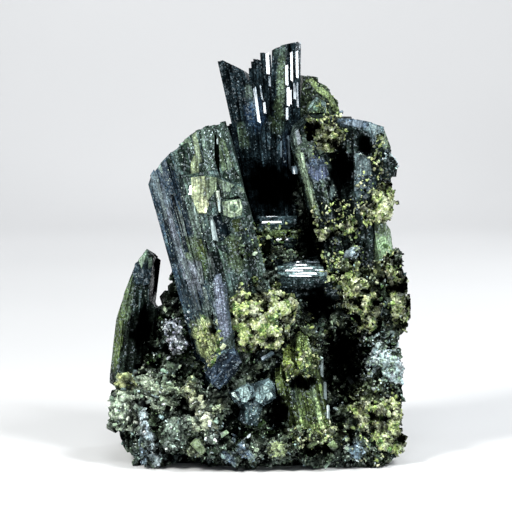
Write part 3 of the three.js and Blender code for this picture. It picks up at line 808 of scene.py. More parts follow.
def strew(rng, spots, normals, sizes, stretch, shapes, upright, sink, colours, deep=0.6):
    """Grains at the given spots. Stretch is their length over their width, upright how
    closely they follow the normal, sink the share of their size below the spot, and deep
    how much darker their lower ends are painted, as painted shade at their feet."""
    count = len(spots)
    size = rng.uniform(0, 1, count) ** 1.5 * (sizes[1] - sizes[0]) + sizes[0]
    length = size * rng.uniform(*stretch, count)
    thin = size * rng.uniform(0.65, 1.0, count)
    w = unit(normals * upright + unit(rng.normal(size=(count, 3))))
    u = unit(np.cross(w, unit(rng.normal(size=(count, 3)))))
    v = np.cross(w, u)
    centre = spots + normals * (size * (0.5 - sink))[:, None]
    kind = rng.integers(0, len(shapes), count)
    parts = []
    for k, (co, tris) in enumerate(shapes):
        mine = np.flatnonzero(kind == k)
        if not len(mine):
            continue
        local = co[None] * np.stack([size, thin, length], 1)[mine][:, None]
        world = (
            local[:, :, :1] * u[mine][:, None]
            + local[:, :, 1:2] * v[mine][:, None]
            + local[:, :, 2:] * w[mine][:, None]
            + centre[mine][:, None]
        )
        faces = tris[None] + np.arange(len(mine))[:, None, None] * len(co)
        rise = ((world - centre[mine][:, None]) * normals[mine][:, None]).sum(2)
        rise = rise / np.maximum(size[mine] * 0.5, 1e-6)[:, None]
        # Painted shade: each grain is painted darker towards its foot.
        shade = np.clip(1.2 - deep + deep * rise, 0.04, 1.2)
        paint = colours[mine][:, None] * shade[:, :, None]
        parts.append([array.reshape(-1, 3) for array in (world, faces, paint)])
    return merged(parts)


def boxed_tree(co, tris):
    """A surface's tree, with a box round it that has 1 mm to spare."""
    return surface_tree(co, tris), co.min(0) - 1, co.max(0) + 1


TREES = [boxed_tree(*cad_arrays(crystal)) for crystal in CRYSTALS]


def clear_of_crystals(spots, gap):
    """Which spots lie outside every crystal, by at least gap."""
    keep = np.ones(len(spots), bool)
    for tree, low, high in TREES:
        for i in np.flatnonzero(keep & ((spots > low) & (spots < high)).all(1)):
            hit, normal, _, far = tree.find_nearest(Vector(spots[i]))
            inside = (Vector(spots[i]) - hit).dot(normal) < 0
            if inside or far < gap:
                keep[i] = False
    return keep


def chipped(co, tris, spacing, tilt, depth, seed):
    """Breaks a surface into flat facets about spacing across, tilted at random and set
    back by up to depth."""
    rng = np.random.default_rng(seed)
    normals = corner_normals(co, tris)
    order = rng.permutation(len(co))
    seeds = order[one_per_cell(co[order], spacing)]
    tree = point_tree(co[seeds])
    plane = unit(normals[seeds] + tilt * rng.normal(size=(len(seeds), 3)))
    point = co[seeds] - normals[seeds] * rng.uniform(0, depth, (len(seeds), 1))
    nearest = np.array([tree.find(p)[1] for p in co])
    m, q = plane[nearest], point[nearest]
    facing = np.maximum((normals * m).sum(1), 0.45)
    move = ((q - co) * m).sum(1) / facing
    return co + normals * np.clip(move, -1.6 * depth, 0.7 * depth)[:, None]


# ---- The crystals' pieces ----

LOOKS = {
    # node: strip widths, step depth, tilt, unevenness of the ends, breaks, material, slot
    "tall_slab_crystal": ((0.3, 1.7), 0.06, 0.16, 0.35, 9, SLAB, "slab_crystal"),
    "twin_top_crystals": ((0.25, 1.1), 0.04, 0.14, 0.35, 5, DARK, "dark_crystal"),
    "right_block_crystal": ((0.5, 2.2), 0.08, 0.18, 0.3, 7, DARK, "dark_crystal"),
    "slate_blue_prism": ((0.4, 0.9), 0.05, 0.1, 0.5, 2, SLATE, "slate_crystal"),
    "slate_blue_block": ((0.6, 1.6), 0.08, 0.15, 0.5, 2, SLATE, "slate_crystal"),
    "pale_foot_crystals": ((0.4, 1.1), 0.12, 0.25, 0.5, 4, SLATE, "slate_crystal"),
    "olive_blades": ((0.3, 1.0), 0.28, 0.3, 1.6, 11, OLIVE, "olive_crystal"),
    "cross_lying_crystals": ((0.16, 0.6), 0.12, 0.3, 0.9, 7, DARK, "dark_crystal"),
    "olive_back_crystal": ((0.4, 1.5), 0.12, 0.2, 0.5, 7, OLIVE, "olive_crystal"),
    "left_wedge_crystal": ((0.4, 1.6), 0.09, 0.2, 0.5, 7, DARK, "dark_crystal"),
    "pale_edge_crystal": ((0.6, 1.5), 0.08, 0.1, 0.5, 3, PALE, "pale_crystal"),
}

# Patches of colour on the crystals' fronts: x, z, half width, half height, lean towards
# +x in degrees, strength and colour.
PATCHES = {
    "tall_slab_crystal": [
        (-13.4, 42.8, 1.8, 2.8, -16, 0.6, (0.1, 0.115, 0.055)),
        (-12.2, 48.8, 1.4, 3, -14, 0.6, (0.13, 0.15, 0.13)),
        (-13.4, 37.2, 1.7, 3.2, -14, 0.8, (0.19, 0.18, 0.22)),
        (-11, 40.8, 1.2, 3.4, -14, 0.6, (0.06, 0.08, 0.03)),
        (-8.8, 37, 1.2, 3.6, -14, 0.7, (0.02, 0.028, 0.034)),
        (-5, 42.4, 1.8, 3.8, -14, 0.7, (0.05, 0.06, 0.025)),
        (-10.6, 24.6, 2.4, 4.4, -16, 0.95, (0.4, 0.41, 0.2)),
        (-8.4, 31.4, 1, 1.6, -16, 0.7, (0.13, 0.14, 0.19)),
        (-7.6, 27.6, 0.9, 1.4, -16, 0.7, (0.14, 0.15, 0.19)),
        (-9.8, 29.6, 1.2, 3, -14, 0.6, (0.12, 0.14, 0.12)),
        (-17.4, 47, 0.6, 9, -14, 0.75, (0.17, 0.165, 0.21)),
        (-14.6, 38.4, 0.5, 7, -15, 0.75, (0.18, 0.175, 0.22)),
        (-14.2, 33, 1.2, 2.6, -14, 0.6, (0.1, 0.115, 0.14)),
        (-16.6, 42, 0.9, 2.6, -14, 0.5, (0.1, 0.115, 0.13)),
        (-12.2, 27.6, 0.6, 4.4, -16, 0.5, (0.09, 0.11, 0.12)),
        (-18.8, 52.4, 1, 2.4, -12, 0.5, (0.08, 0.1, 0.12)),
        (-20, 44, 0.35, 9, -14, 0.6, (0.09, 0.11, 0.12)),
        (-20.4, 55, 0.8, 3, -14, 0.7, (0.15, 0.17, 0.2)),
        (-19.6, 59.2, 2.6, 0.8, 50, 0.8, (0.22, 0.25, 0.24)),
        (-15.6, 64.4, 2.6, 0.8, 30, 0.6, (0.16, 0.19, 0.13)),
    ],
    "twin_top_crystals": [
        (4.2, 75, 0.8, 6.4, 2, 0.8, (0.095, 0.115, 0.08)),
        (3.4, 68.6, 1.6, 3.4, 0, 0.5, (0.045, 0.06, 0.025)),
        (-7, 75.6, 0.5, 4, -13, 0.9, (0.22, 0.26, 0.2)),
        (-5.4, 68, 0.45, 5, -13, 0.9, (0.12, 0.16, 0.12)),
        (-3.6, 64.4, 1.2, 2.6, -13, 0.4, (0.06, 0.075, 0.04)),
        (-2.2, 72.6, 0.7, 2, -10, 0.6, (0.12, 0.14, 0.12)),
        (-1, 69, 2, 3, -10, 0.6, (0.016, 0.03, 0.065)),
        (5.4, 61.4, 1, 3.4, 0, 0.5, (0.02, 0.03, 0.06)),
        (3, 81.4, 2.4, 1, 12, 0.5, (0.06, 0.08, 0.07)),
    ],
    "right_block_crystal": [
        (11.2, 58.4, 1.9, 2.3, -14, 0.9, (0.045, 0.055, 0.085)),
        (7, 64.4, 0.7, 2.4, -16, 0.9, (0.16, 0.18, 0.17)),
        (8.6, 58, 0.7, 4.4, -16, 0.9, (0.20, 0.23, 0.17)),
        (10.2, 52.4, 0.7, 3.4, -16, 0.8, (0.12, 0.14, 0.09)),
        (18.6, 67.6, 3.4, 0.9, 12, 0.8, (0.10, 0.12, 0.17)),
        (23.4, 65.6, 2.6, 2, 10, 0.8, (0.12, 0.15, 0.17)),
        (25, 64.6, 0.8, 2.2, 0, 0.7, (0.26, 0.3, 0.2)),
        (17.2, 58.6, 0.5, 5, 0, 0.6, (0.09, 0.11, 0.1)),
        (20.4, 55.6, 2.2, 2.6, 0, 0.6, (0.035, 0.048, 0.06)),
        (19.4, 64.4, 2.4, 1.6, 0, 0.6, (0.006, 0.008, 0.008)),
        (9, 63.4, 1.2, 1.8, -14, 0.6, (0.09, 0.11, 0.09)),
        (12.6, 54.4, 0.4, 3, -14, 0.6, (0.09, 0.11, 0.08)),
    ],
    "left_wedge_crystal": [
        (-24.4, 41.2, 2.4, 1.4, 0, 0.85, (0.26, 0.33, 0.26)),
        (-26, 37.8, 0.5, 3.6, 12, 0.8, (0.2, 0.26, 0.2)),
        (-24, 37.4, 2.4, 2.2, 0, 0.8, (0.03, 0.042, 0.06)),
        (-28, 27, 0.9, 9, 9, 0.8, (0.08, 0.10, 0.035)),
        (-26.2, 31, 0.6, 5, 9, 0.6, (0.08, 0.10, 0.06)),
        (-23.6, 31.6, 1.4, 2.4, 9, 0.6, (0.05, 0.065, 0.075)),
    ],
    "cross_lying_crystals": [
        (8, 38.4, 4.4, 1.5, 0, 0.9, (0.14, 0.18, 0.19)),
        (7.4, 38.6, 2.4, 0.7, 0, 0.7, (0.24, 0.29, 0.3)),
        (2.4, 48, 4.4, 1.4, 0, 0.7, (0.05, 0.07, 0.085)),
        (3.8, 45.4, 5, 0.7, 0, 0.8, (0.09, 0.11, 0.04)),
    ],
    "olive_blades": [
        (6, 21.6, 2.2, 2.2, 0, 0.8, (0.24, 0.27, 0.07)),
        (12.2, 24.4, 1.6, 2.4, 0, 0.7, (0.2, 0.23, 0.07)),
        (10.4, 15, 0.4, 6, -12, 0.8, (0.32, 0.37, 0.24)),
        (8, 12, 0.6, 5, -12, 0.8, (0.24, 0.29, 0.12)),
        (11.6, 10.6, 0.6, 3.6, -12, 0.8, (0.28, 0.33, 0.16)),
        (9.4, 7.6, 2.6, 1.6, -12, 0.7, (0.28, 0.33, 0.14)),
        (12.8, 17, 0.4, 4.6, -12, 0.7, (0.2, 0.25, 0.19)),
        (6.6, 16.4, 0.9, 3.4, -12, 0.7, (0.02, 0.03, 0.03)),
        (9.4, 18, 0.7, 3.6, -12, 0.7, (0.012, 0.02, 0.02)),
    ],
    "olive_back_crystal": [
        (9.6, 75.2, 3.4, 0.8, 10, 0.9, (0.14, 0.17, 0.08)),
        (13.6, 72.6, 2.8, 0.8, 45, 0.9, (0.16, 0.19, 0.09)),
        (15.2, 67.6, 0.8, 4, -18, 0.9, (0.17, 0.2, 0.09)),
        (12.4, 69, 1, 2.4, -10, 0.7, (0.13, 0.17, 0.07)),
        (10, 70.6, 2, 1, 20, 0.7, (0.1, 0.14, 0.12)),
        (9.4, 73, 1.6, 0.8, 0, 0.6, (0.09, 0.12, 0.05)),
    ],
    "pale_edge_crystal": [
        (25, 39.4, 2.2, 5.6, -9, 0.9, (0.21, 0.27, 0.16)),
        (26.4, 38.4, 0.5, 4.6, -9, 0.8, (0.33, 0.4, 0.27)),
    ],
    "slate_blue_block": [(-8.6, 23.2, 2.8, 0.7, -40, 0.6, (0.12, 0.16, 0.18))],
    "slate_blue_prism": [
        (-7.4, 31.6, 0.9, 7, -7, 0.8, (0.145, 0.14, 0.19)),
        (-9.2, 31, 0.55, 8, -7, 0.95, (0.008, 0.012, 0.016)),
        (-6.2, 24.4, 1.6, 2.2, 0, 0.8, (0.03, 0.04, 0.03)),
    ],
    "pale_foot_crystals": [
        (-3.4, 17, 1.6, 0.8, 20, 0.8, (0.2, 0.26, 0.28)),
        (-1.4, 12.6, 1.6, 0.7, 10, 0.7, (0.16, 0.2, 0.22)),
        (1.4, 16.6, 0.8, 1.4, 30, 0.8, (0.16, 0.2, 0.21)),
    ],
}

# Each crystal's colour under its patches and streaks.
GROUNDS = {
    "tall_slab_crystal": (0.03, 0.047, 0.038),
    "twin_top_crystals": (0.009, 0.016, 0.02),
    "right_block_crystal": (0.01, 0.016, 0.014),
    "left_wedge_crystal": (0.014, 0.021, 0.016),
    "cross_lying_crystals": (0.014, 0.023, 0.024),
    "olive_back_crystal": (0.026, 0.038, 0.022),
    "olive_blades": (0.038, 0.054, 0.018),
    "pale_edge_crystal": (0.07, 0.095, 0.055),
    "pale_foot_crystals": (0.022, 0.034, 0.038),
    "slate_blue_block": (0.022, 0.034, 0.05),
    "slate_blue_prism": (0.035, 0.046, 0.06),
}

SLAB_EDGE = 6.9  # how far along its own u the left face of the slab reaches
CRYSTAL_FRONT, ROCK_FRONT = 3, -2  # patches of colour end at these depths, in y


def crystal_paint(node, co, tris, grow):
    """The colour of each corner of a crystal."""
    front = clamped(-2.5 * corner_normals(co, tris)[:, 1])
    front = np.maximum(front, 0.7 * blotches(co, 2.6, 23.0, 4, 2))
    paint = np.tile(np.array(GROUNDS[node]), (len(co), 1))
    if node == "tall_slab_crystal":
        paint = blend(paint, clamped(SLAB_EDGE - grow[:, 0]), (0.02, 0.035, 0.052))
    paint = blend(paint, blotches(co, 3.4, 9.0, 3, 1.6) * 0.6, paint.mean(0) * 2.2)
    paint = paint * (0.5 + fuzz(co, 4.0, 3.0)[:, None])
    streaks = fuzz(grow * (1.6, 0.4, 0.07), 1.0, 4.0)[:, None]
    paint = paint * (0.25 + 1.5 * streaks)
    ragged = uneven(co, 1.4, 5.0, 0.5)
    for *box, strength, colour in PATCHES[node]:
        amount = patch(co, box, ragged) * (co[:, 1] < CRYSTAL_FRONT) * strength * front
        paint = blend(paint, amount, np.array(colour) * (0.85, 1.0, 0.95))
    return paint


BASES = []  # corners and triangles of every surface that grains can stand on
for number, (node, look) in enumerate(LOOKS.items()):
    *strips, surface, slot = look
    co, tris, grow = striate(node, *strips, 100 + number)
    paint = crystal_paint(node, co, tris, grow)
    dress(build(node + "_visual", co, tris, paint, grow), surface, slot, node)
    BASES.append((co, tris))


def base_tree(*crusts):
    """Every surface so far, and the solids of the named crusts, as one tree."""
    return surface_tree(*stacked(BASES + [cad_arrays(node) for node in crusts]))


# ---- Steps on the crystals' faces ----

# Thin plates of growth that stand a little above the face they lie on. Each has its
# thickness, its colour, and its outline as (x, z) corners seen from the front.
STEPS = [
    (0.12, (0.012, 0.02, 0.016), [(-18.6, 62), (-16.2, 64.6), (-14.2, 63.8), (-13.7, 58.2),
     (-16.8, 58.2), (-18.2, 60)]),
    (0.16, (0.12, 0.14, 0.095), [(-13.6, 66.2), (-12.3, 67), (-11.2, 60), (-12.4, 59.4)]),
    (0.3, (0.05, 0.068, 0.058), [(-12.3, 67.4), (-9.2, 68.2), (-8.9, 64.8), (-8.9, 58.4),
     (-10.7, 58.1)]),
    (0.4, (0.14, 0.16, 0.1), [(-13.5, 59.8), (-12.7, 61.6), (-12, 59.6), (-11.8, 57.6),
     (-13.6, 57.4)]),
    # The nearly black plate below stands for a groove in the slab: painted shade.
    (0.1, (0.002, 0.003, 0.002), [(-8.9, 65.2), (-8.1, 65), (-7.9, 58), (-8.6, 57.8)]),
    (0.2, (0.07, 0.095, 0.06), [(-8.1, 65), (-6.9, 64), (-4.9, 59), (-7.4, 58), (-7.8, 60)]),
    (0.3, (0.13, 0.17, 0.13), [(-6.7, 60.8), (-6.2, 60.6), (-5.6, 58.4), (-6.2, 58.3)]),
    (0.16, (0.016, 0.026, 0.02), [(-7, 58), (-5, 58.8), (-3.6, 56.6), (-4.2, 55.8),
     (-7.6, 56.8)]),
    (0.55, (0.21, 0.225, 0.145), [(-13.4, 57), (-10.6, 57.3), (-9.9, 53.6), (-10.6, 50),
     (-12, 50), (-12.6, 52.3), (-13.3, 53.2)]),
    (0.5, (0.13, 0.155, 0.105), [(-10.7, 57.3), (-8.3, 56.9), (-8.5, 54.6), (-9.4, 53.5),
     (-10.1, 52.6)]),
    (0.62, (0.3, 0.3, 0.2), [(-12, 53.2), (-10.4, 53.2), (-9.9, 51.8), (-10.5, 50.1),
     (-11.9, 50.2)]),
    (0.36, (0.12, 0.15, 0.115), [(-8.4, 56.8), (-6, 56.3), (-3, 54.7), (-3, 53.8),
     (-7.6, 54.3)]),
    (0.2, (0.03, 0.044, 0.034), [(-7.9, 54.4), (-3.2, 53.9), (-3.4, 53.1), (-7.3, 52.8)]),
    (0.7, (0.2, 0.24, 0.17), [(-7.4, 52.3), (-6, 52.9), (-3.9, 52.8), (-2.7, 51.3),
     (-3.5, 49.7), (-5.7, 49.2), (-7.1, 49.7)]),
    (0.82, (0.27, 0.31, 0.23), [(-6.4, 51.9), (-5.2, 52.3), (-4.1, 51.7), (-3.9, 50.7),
     (-4.9, 49.9), (-6.1, 50.3)]),
    (0.94, (0.06, 0.085, 0.06), [(-5.9, 51.6), (-5.1, 51.9), (-4.4, 51.5), (-4.3, 50.9),
     (-5, 50.4), (-5.8, 50.7)]),
    (0.45, (0.36, 0.38, 0.34), [(-8.8, 54.4), (-7.9, 54.4), (-7.5, 50), (-8.1, 50.1)]),
    (0.14, (0.009, 0.016, 0.022), [(-9.8, 49.9), (-7.5, 49.9), (-5.4, 45.4), (-7.9, 44.4)]),
    (0.3, (0.11, 0.135, 0.13), [(-13.5, 52.8), (-12.8, 52.3), (-11.9, 47), (-12.5, 46.8)]),
    (0.16, (0.022, 0.032, 0.032), [(-12, 49.9), (-10.6, 49.9), (-9.4, 44.8), (-11.2, 44.6)]),
    (0.12, (0.035, 0.045, 0.018), [(-7.4, 49), (-3.4, 49.3), (-2.6, 46.4), (-5.2, 45.2)]),
    (0.2, (0.15, 0.165, 0.17), [(-10.4, 42.4), (-9.3, 42.6), (-8.6, 37.6), (-9.6, 37.4)]),
    (0.3, (0.12, 0.135, 0.15), [(-12.6, 40.6), (-11.4, 40.4), (-11, 36), (-12, 35.8)]),
    (0.16, (0.02, 0.028, 0.03), [(-16, 57.6), (-14.2, 57.8), (-13.9, 52.4), (-15, 50.4)]),
    (0.16, (0.085, 0.1, 0.1), [(-17, 52), (-15.8, 52.2), (-14.3, 45.4), (-15.2, 45.2)]),
    (0.2, (0.03, 0.042, 0.062), [(-19.6, 60), (-18.4, 61.2), (-17.2, 56), (-18.6, 54.6)]),
    (0.14, (0.1, 0.12, 0.135), [(-20.6, 56), (-20, 56.4), (-18.2, 48.6), (-18.8, 48)]),
    (0.18, (0.012, 0.018, 0.026), [(-17.6, 53.4), (-16.9, 53.6), (-14, 42.2), (-14.9, 42)]),
    (0.14, (0.012, 0.02, 0.03), [(-19.6, 50), (-18.8, 50.2), (-16.2, 39.6), (-17.4, 39.6)]),
    (0.24, (0.14, 0.16, 0.18), [(-15.6, 40.6), (-14.6, 41), (-13.2, 36.8), (-14.6, 36.4)]),
    (0.14, (0.014, 0.022, 0.02), [(-9.8, 43.6), (-6.4, 44), (-5.6, 40.4), (-8.6, 39.6)]),
    (0.2, (0.07, 0.085, 0.035), [(-12.6, 44.8), (-11.4, 45), (-10.6, 41.6), (-12, 41.2)]),
    (0.2, (0.09, 0.105, 0.12), [(-13.8, 35.8), (-12.8, 36), (-11.6, 30.6), (-12.8, 30.4)]),
    (0.14, (0.02, 0.03, 0.04), [(-15.8, 36.2), (-14.6, 36.4), (-13.2, 30.6), (-14.6, 30.4)]),
    (0.2, (0.1, 0.12, 0.12), [(-11.4, 35.4), (-10.6, 35.4), (-9.8, 30.8), (-10.8, 30.6)]),
    (0.4, (0.3, 0.38, 0.3), [(-24.7, 39.6), (-23.3, 41.9), (-22.7, 40.8), (-23.6, 38.2)]),
    (0.3, (0.2, 0.26, 0.21), [(-22.3, 40.2), (-21.6, 40.4), (-21.3, 38.8), (-22.2, 38)]),
    (0.2, (0.025, 0.036, 0.048), [(-25.6, 37.4), (-23, 37.8), (-22, 35.2), (-24.4, 34.4)]),
    (0.2, (0.075, 0.1, 0.055), [(-25.9, 37), (-25.2, 37), (-27.4, 28.6), (-28.2, 28.8)]),
    (0.2, (0.09, 0.115, 0.05), [(-28.4, 27.6), (-27.4, 27.8), (-28.2, 20.4), (-29.2, 20.6)]),
    (0.16, (0.012, 0.02, 0.016), [(-24.8, 33.8), (-22.4, 34.4), (-22.6, 29), (-25, 28.6)]),
    (0.2, (0.038, 0.045, 0.075), [(9.4, 57.6), (9.7, 60.3), (11.6, 60.9), (13.3, 59.7),
     (13.2, 57.3), (11.3, 56)]),
    (0.25, (0.16, 0.17, 0.2), [(6.6, 66.4), (7.5, 66.2), (8.2, 63.6), (7.4, 63)]),
    (0.2, (0.22, 0.27, 0.2), [(7.9, 61.6), (8.5, 61.6), (8.9, 58.8), (8.5, 58.4)]),
    (0.2, (0.13, 0.165, 0.12), [(8.8, 58), (9.2, 58), (10.5, 52.6), (9.9, 52.2)]),
    (0.2, (0.19, 0.22, 0.16), [(9.9, 53.4), (10.3, 53.4), (11, 50.6), (10.5, 50)]),
    (0.14, (0.06, 0.078, 0.08), [(14.2, 57), (15, 58), (16.2, 54), (14.6, 51.6), (13.4, 53)]),
    (0.14, (0.05, 0.065, 0.055), [(9.2, 62.4), (10.6, 63.2), (12.8, 62), (11.6, 61),
     (9.4, 60.6)]),
    (0.3, (0.09, 0.11, 0.055), [(7.6, 76.2), (10.6, 75.7), (10.4, 74.7), (7.6, 75.1)]),
    (0.35, (0.1, 0.125, 0.06), [(10.6, 75.7), (12.6, 73.9), (14.3, 72.5), (13.6, 71.7),
     (11.4, 73.2), (10.2, 74.6)]),
    (0.3, (0.11, 0.135, 0.065), [(14.3, 72.6), (15.4, 70.4), (16.2, 68.4), (15.2, 67.6),
     (14.4, 70.2), (13.6, 71.7)]),
    (0.5, (0.085, 0.115, 0.115), [(8.6, 68.8), (9.4, 71.2), (11.4, 72.2), (13.2, 71),
     (13.6, 68.8)]),
    # The pale plate below is a painted highlight along the edge of a foot crystal.
    (0.3, (0.5, 0.58, 0.58), [(-5.7, 15.9), (-5, 16.3), (-4, 14.6), (-4.7, 14)]),
    (0.35, (0.2, 0.26, 0.27), [(-4.4, 16.6), (-2.6, 17.3), (-1.7, 15.4), (-2.6, 14.1),
     (-3.6, 14.2)]),
    (0.25, (0.06, 0.085, 0.1), [(-2.4, 17.2), (-1.3, 17.4), (-0.8, 15.6), (-1.6, 14.8)]),
    (0.35, (0.12, 0.16, 0.175), [(-0.9, 16.4), (0.4, 17.2), (1.2, 15.4), (0.2, 13.9),
     (-0.9, 14.4)]),
    (0.2, (0.26, 0.32, 0.33), [(0.5, 17.1), (1.5, 17), (2.5, 15.4), (1.6, 14.6), (1.1, 15.6)]),
    (0.2, (0.03, 0.045, 0.055), [(-3.4, 13.9), (-1.7, 14), (-1, 12.9), (-2.6, 12.6)]),
    (0.25, (0.035, 0.055, 0.062), [(-3.2, 12.4), (-0.6, 12.7), (0.4, 10.9), (-0.9, 8.9),
     (-2.8, 10.1)]),
    (0.15, (0.012, 0.018, 0.03), [(-8.6, 22.6), (-5.4, 21.6), (-6.4, 18.8), (-9.2, 19.2)]),
    (0.2, (0.11, 0.13, 0.17), [(15.6, 67.3), (19.4, 69.2), (21.4, 68), (19.6, 66.4)]),
    (0.2, (0.13, 0.16, 0.18), [(21.2, 67.4), (23.4, 66.6), (24.4, 64.4), (22.6, 64.2)]),
    (0.16, (0.07, 0.09, 0.1), [(18.4, 61.4), (21.4, 61.8), (21.8, 57.2), (19, 56.8)]),
]

IN_FRONT = -60  # where a line of sight starts, in y
ONE_FACE = 1.6  # spots this close to the middle depth lie on the plate's own face
ON_FACE = 1.2  # how far from a plate's plane the surface behind its corners may lie
PLATE_NET = 0.5  # the longest edge of a plate's net


def depth_at(tree, x, z):
    """How far back the surface lies at a place seen from the front, or None."""
    hit = tree.ray_cast(Vector((x, IN_FRONT, z)), Vector((0, 1, 0)))
    return None if hit[0] is None else hit[0].y


def plate_on(tree, thick, outline, wobble):
    """A plate seated on a plane through the surface behind its outline."""
    corners = np.array(outline)
    centre = corners.mean(0)
    spots = np.vstack([corners * f + centre * (1 - f) for f in (0.3, 0.6, 0.92)])
    depths = [depth_at(tree, x, z) for x, z in spots]
    known = np.array([d is not None for d in depths])
    spots, depths = spots[known], np.array([d for d in depths if d is not None])
    near = np.abs(depths - np.median(depths)) < ONE_FACE
    rows = np.c_[spots, np.ones(len(spots))][near]
    plane = np.linalg.lstsq(rows, depths[near], rcond=None)[0]
    points = []
    for x, z in corners:
        for _ in range(12):
            y = plane[0] * x + plane[1] * z + plane[2]
            behind = depth_at(tree, x, z)
            if behind is not None and abs(behind - y) < ON_FACE:
                break
            x, z = x + (centre[0] - x) * 0.12, z + (centre[1] - z) * 0.12
        slope = wobble @ (np.array([x, z]) - centre)
        inner = centre + (np.array([x, z]) - centre) * 0.97
        points.append((inner[0], y - thick - slope, inner[1]))
        points.append((x, y - thick * 0.7 - slope, z))
        points.append((x, y + 0.7, z))
    bm = bmesh_of(*hull_of(points))
    split_long(bm, lambda e: PLATE_NET)
    return arrays_of(bm)


rng = np.random.default_rng(9)
tree = base_tree()
parts = []
for thick, colour, outline in STEPS:
    co, tris = plate_on(tree, thick, outline, rng.uniform(-0.02, 0.02, 2))
    streaks = fuzz(co * (1.9, 0.3, 0.1) + (co[:, 2:] * 0.27 * (1.9, 0, 0)), 1.0, 14.0)
    paint = np.array(colour) * (0.92, 1.0, 0.94) * (0.35 + 1.3 * streaks[:, None])
    parts.append((co, tris, paint * (0.75 + 0.5 * fuzz(co, 1.1, 3.0)[:, None])))
co, tris, paint = merged(parts)
dress(build("face_steps", co, tris, paint, co), STEP, "slab_crystal")

# ---- Bright faces of the crystals ----

# Narrow smooth faces, each from (x, z) to (x, z) as seen from the front, and its width.
# They stand on the surface behind them. Those of the first list face a little to the
# right, those of the second up, and those of the third to the front.
RIGHT_FACING = [
    (-0.2, 67, -1.1, 74.3, 0.6),
    (0.45, 71.5, 0, 74.6, 0.3),
    (0.95, 68.9, 0.8, 71.2, 0.5),
    (1.6, 76.6, 1.4, 81, 0.7),
    (2.25, 76.9, 2, 80.6, 0.25),
    (1.95, 74.2, 1.9, 76.4, 0.5),
    (5.3, 74.4, 5.3, 78.6, 0.6),
    (5.6, 70.3, 5.6, 74.2, 0.6),
    (6.15, 70.6, 6.15, 73.6, 0.25),
    (5.35, 67.6, 5.4, 70.1, 0.5),
    (6.3, 75.2, 6.25, 81.2, 0.5),
    (7.4, 75.8, 7.35, 81.4, 0.5),
    (6.9, 71.6, 6.9, 75, 0.5),
    (7.5, 70, 7.45, 75.2, 0.4),
    (5.9, 57.6, 5.6, 64.6, 0.4),
    (7, 57.2, 6.9, 58.8, 0.8),
    (4.2, 60.2, 4.2, 63.6, 0.3),
]
UP_FACING = [
    (0.3, 47.35, 4.4, 47.45, 0.42),
    (1.2, 48.5, 3.4, 48.5, 0.2),
    (5.8, 39.75, 7.9, 39.8, 0.3),
    (5.4, 39.2, 9.4, 39.15, 0.36),
    (6.4, 38.7, 10.4, 38.65, 0.4),
    (4.9, 38.2, 8.6, 38.15, 0.32),
    (6.8, 37.75, 11.3, 37.65, 0.4),
    (5.6, 37.25, 10.2, 37.2, 0.3),
    (9.2, 39.8, 11.4, 39.75, 0.16),
    (10.8, 38.3, 12.6, 38.25, 0.16),
    (3.2, 44.2, 5.6, 44.25, 0.3),
    (14.8, 68.2, 16.8, 69.4, 0.35),
    (0.2, 21.6, 2.6, 23.4, 0.6),
]
FORWARD_FACING = [
    (-8.35, 44.4, -10.15, 49.7, 0.6),
    (-13.35, 53.4, -13.55, 57, 0.5),
    (-7.7, 50.3, -8.2, 53.4, 0.4),
    (-8.1, 63.2, -8.5, 65.2, 0.3),
    (13.4, 9.8, 13, 12.8, 0.3),
    (12.9, 13.2, 12.4, 17, 0.3),
    (12.3, 17.4, 11.8, 21.6, 0.25),
]
# Painted highlights: the bright faces' colours are paler than the crystals', the third list's
# palest, so that they look bright from every side.
PAINTED_GLINT, PAINTED_PALE_GLINT = (0.1, 0.14, 0.17), (0.3, 0.37, 0.37)

# Each list with the normal of its faces, how much that varies, and their colour: a painted
# highlight on faces that also catch the lamps.
BRIGHT_FACES = [
    (RIGHT_FACING, (0.29, -0.957, 0.06), 0.03, PAINTED_GLINT),
    (UP_FACING, (0.0, -0.86, 0.5), 0.03, PAINTED_GLINT),
    (FORWARD_FACING, (-0.3, -0.9, 0.3), 0.1, PAINTED_PALE_GLINT),
]


SET_IN, SET_OUT = 0.9, 0.1  # how far a bright face's bar goes in, and stands out


def bar_on(tree, span, normal):
    """A flat bar along a span, whose front has that normal, on the surface behind it."""
    x0, z0, x1, z1, width = span
    depths = [
        depth_at(tree, x0 + (x1 - x0) * far + side * width, z0 + (z1 - z0) * far)
        for far in (0.08, 0.3, 0.5, 0.7, 0.92)
        for side in (-0.35, 0, 0.35)
    ]
    nearest = min(d for d in depths if d is not None)
    normal = unit(np.array(normal))
    along = np.array([x1 - x0, 0, z1 - z0])
    along = along - normal * (along @ normal)
    across = unit(np.cross(normal, along)) * width / 2
    middle = np.array([(x0 + x1) / 2, nearest, (z0 + z1) / 2])
    corners = [
        middle + along / 2 * i * (0.9 if j > 0 else 1.0) + across * j + normal * k
        for k in (-SET_IN, SET_OUT)
        for j in (-1, 1)
        for i in (-1, 1)
    ]
    return hull_of(corners)


# ---- The rock ----

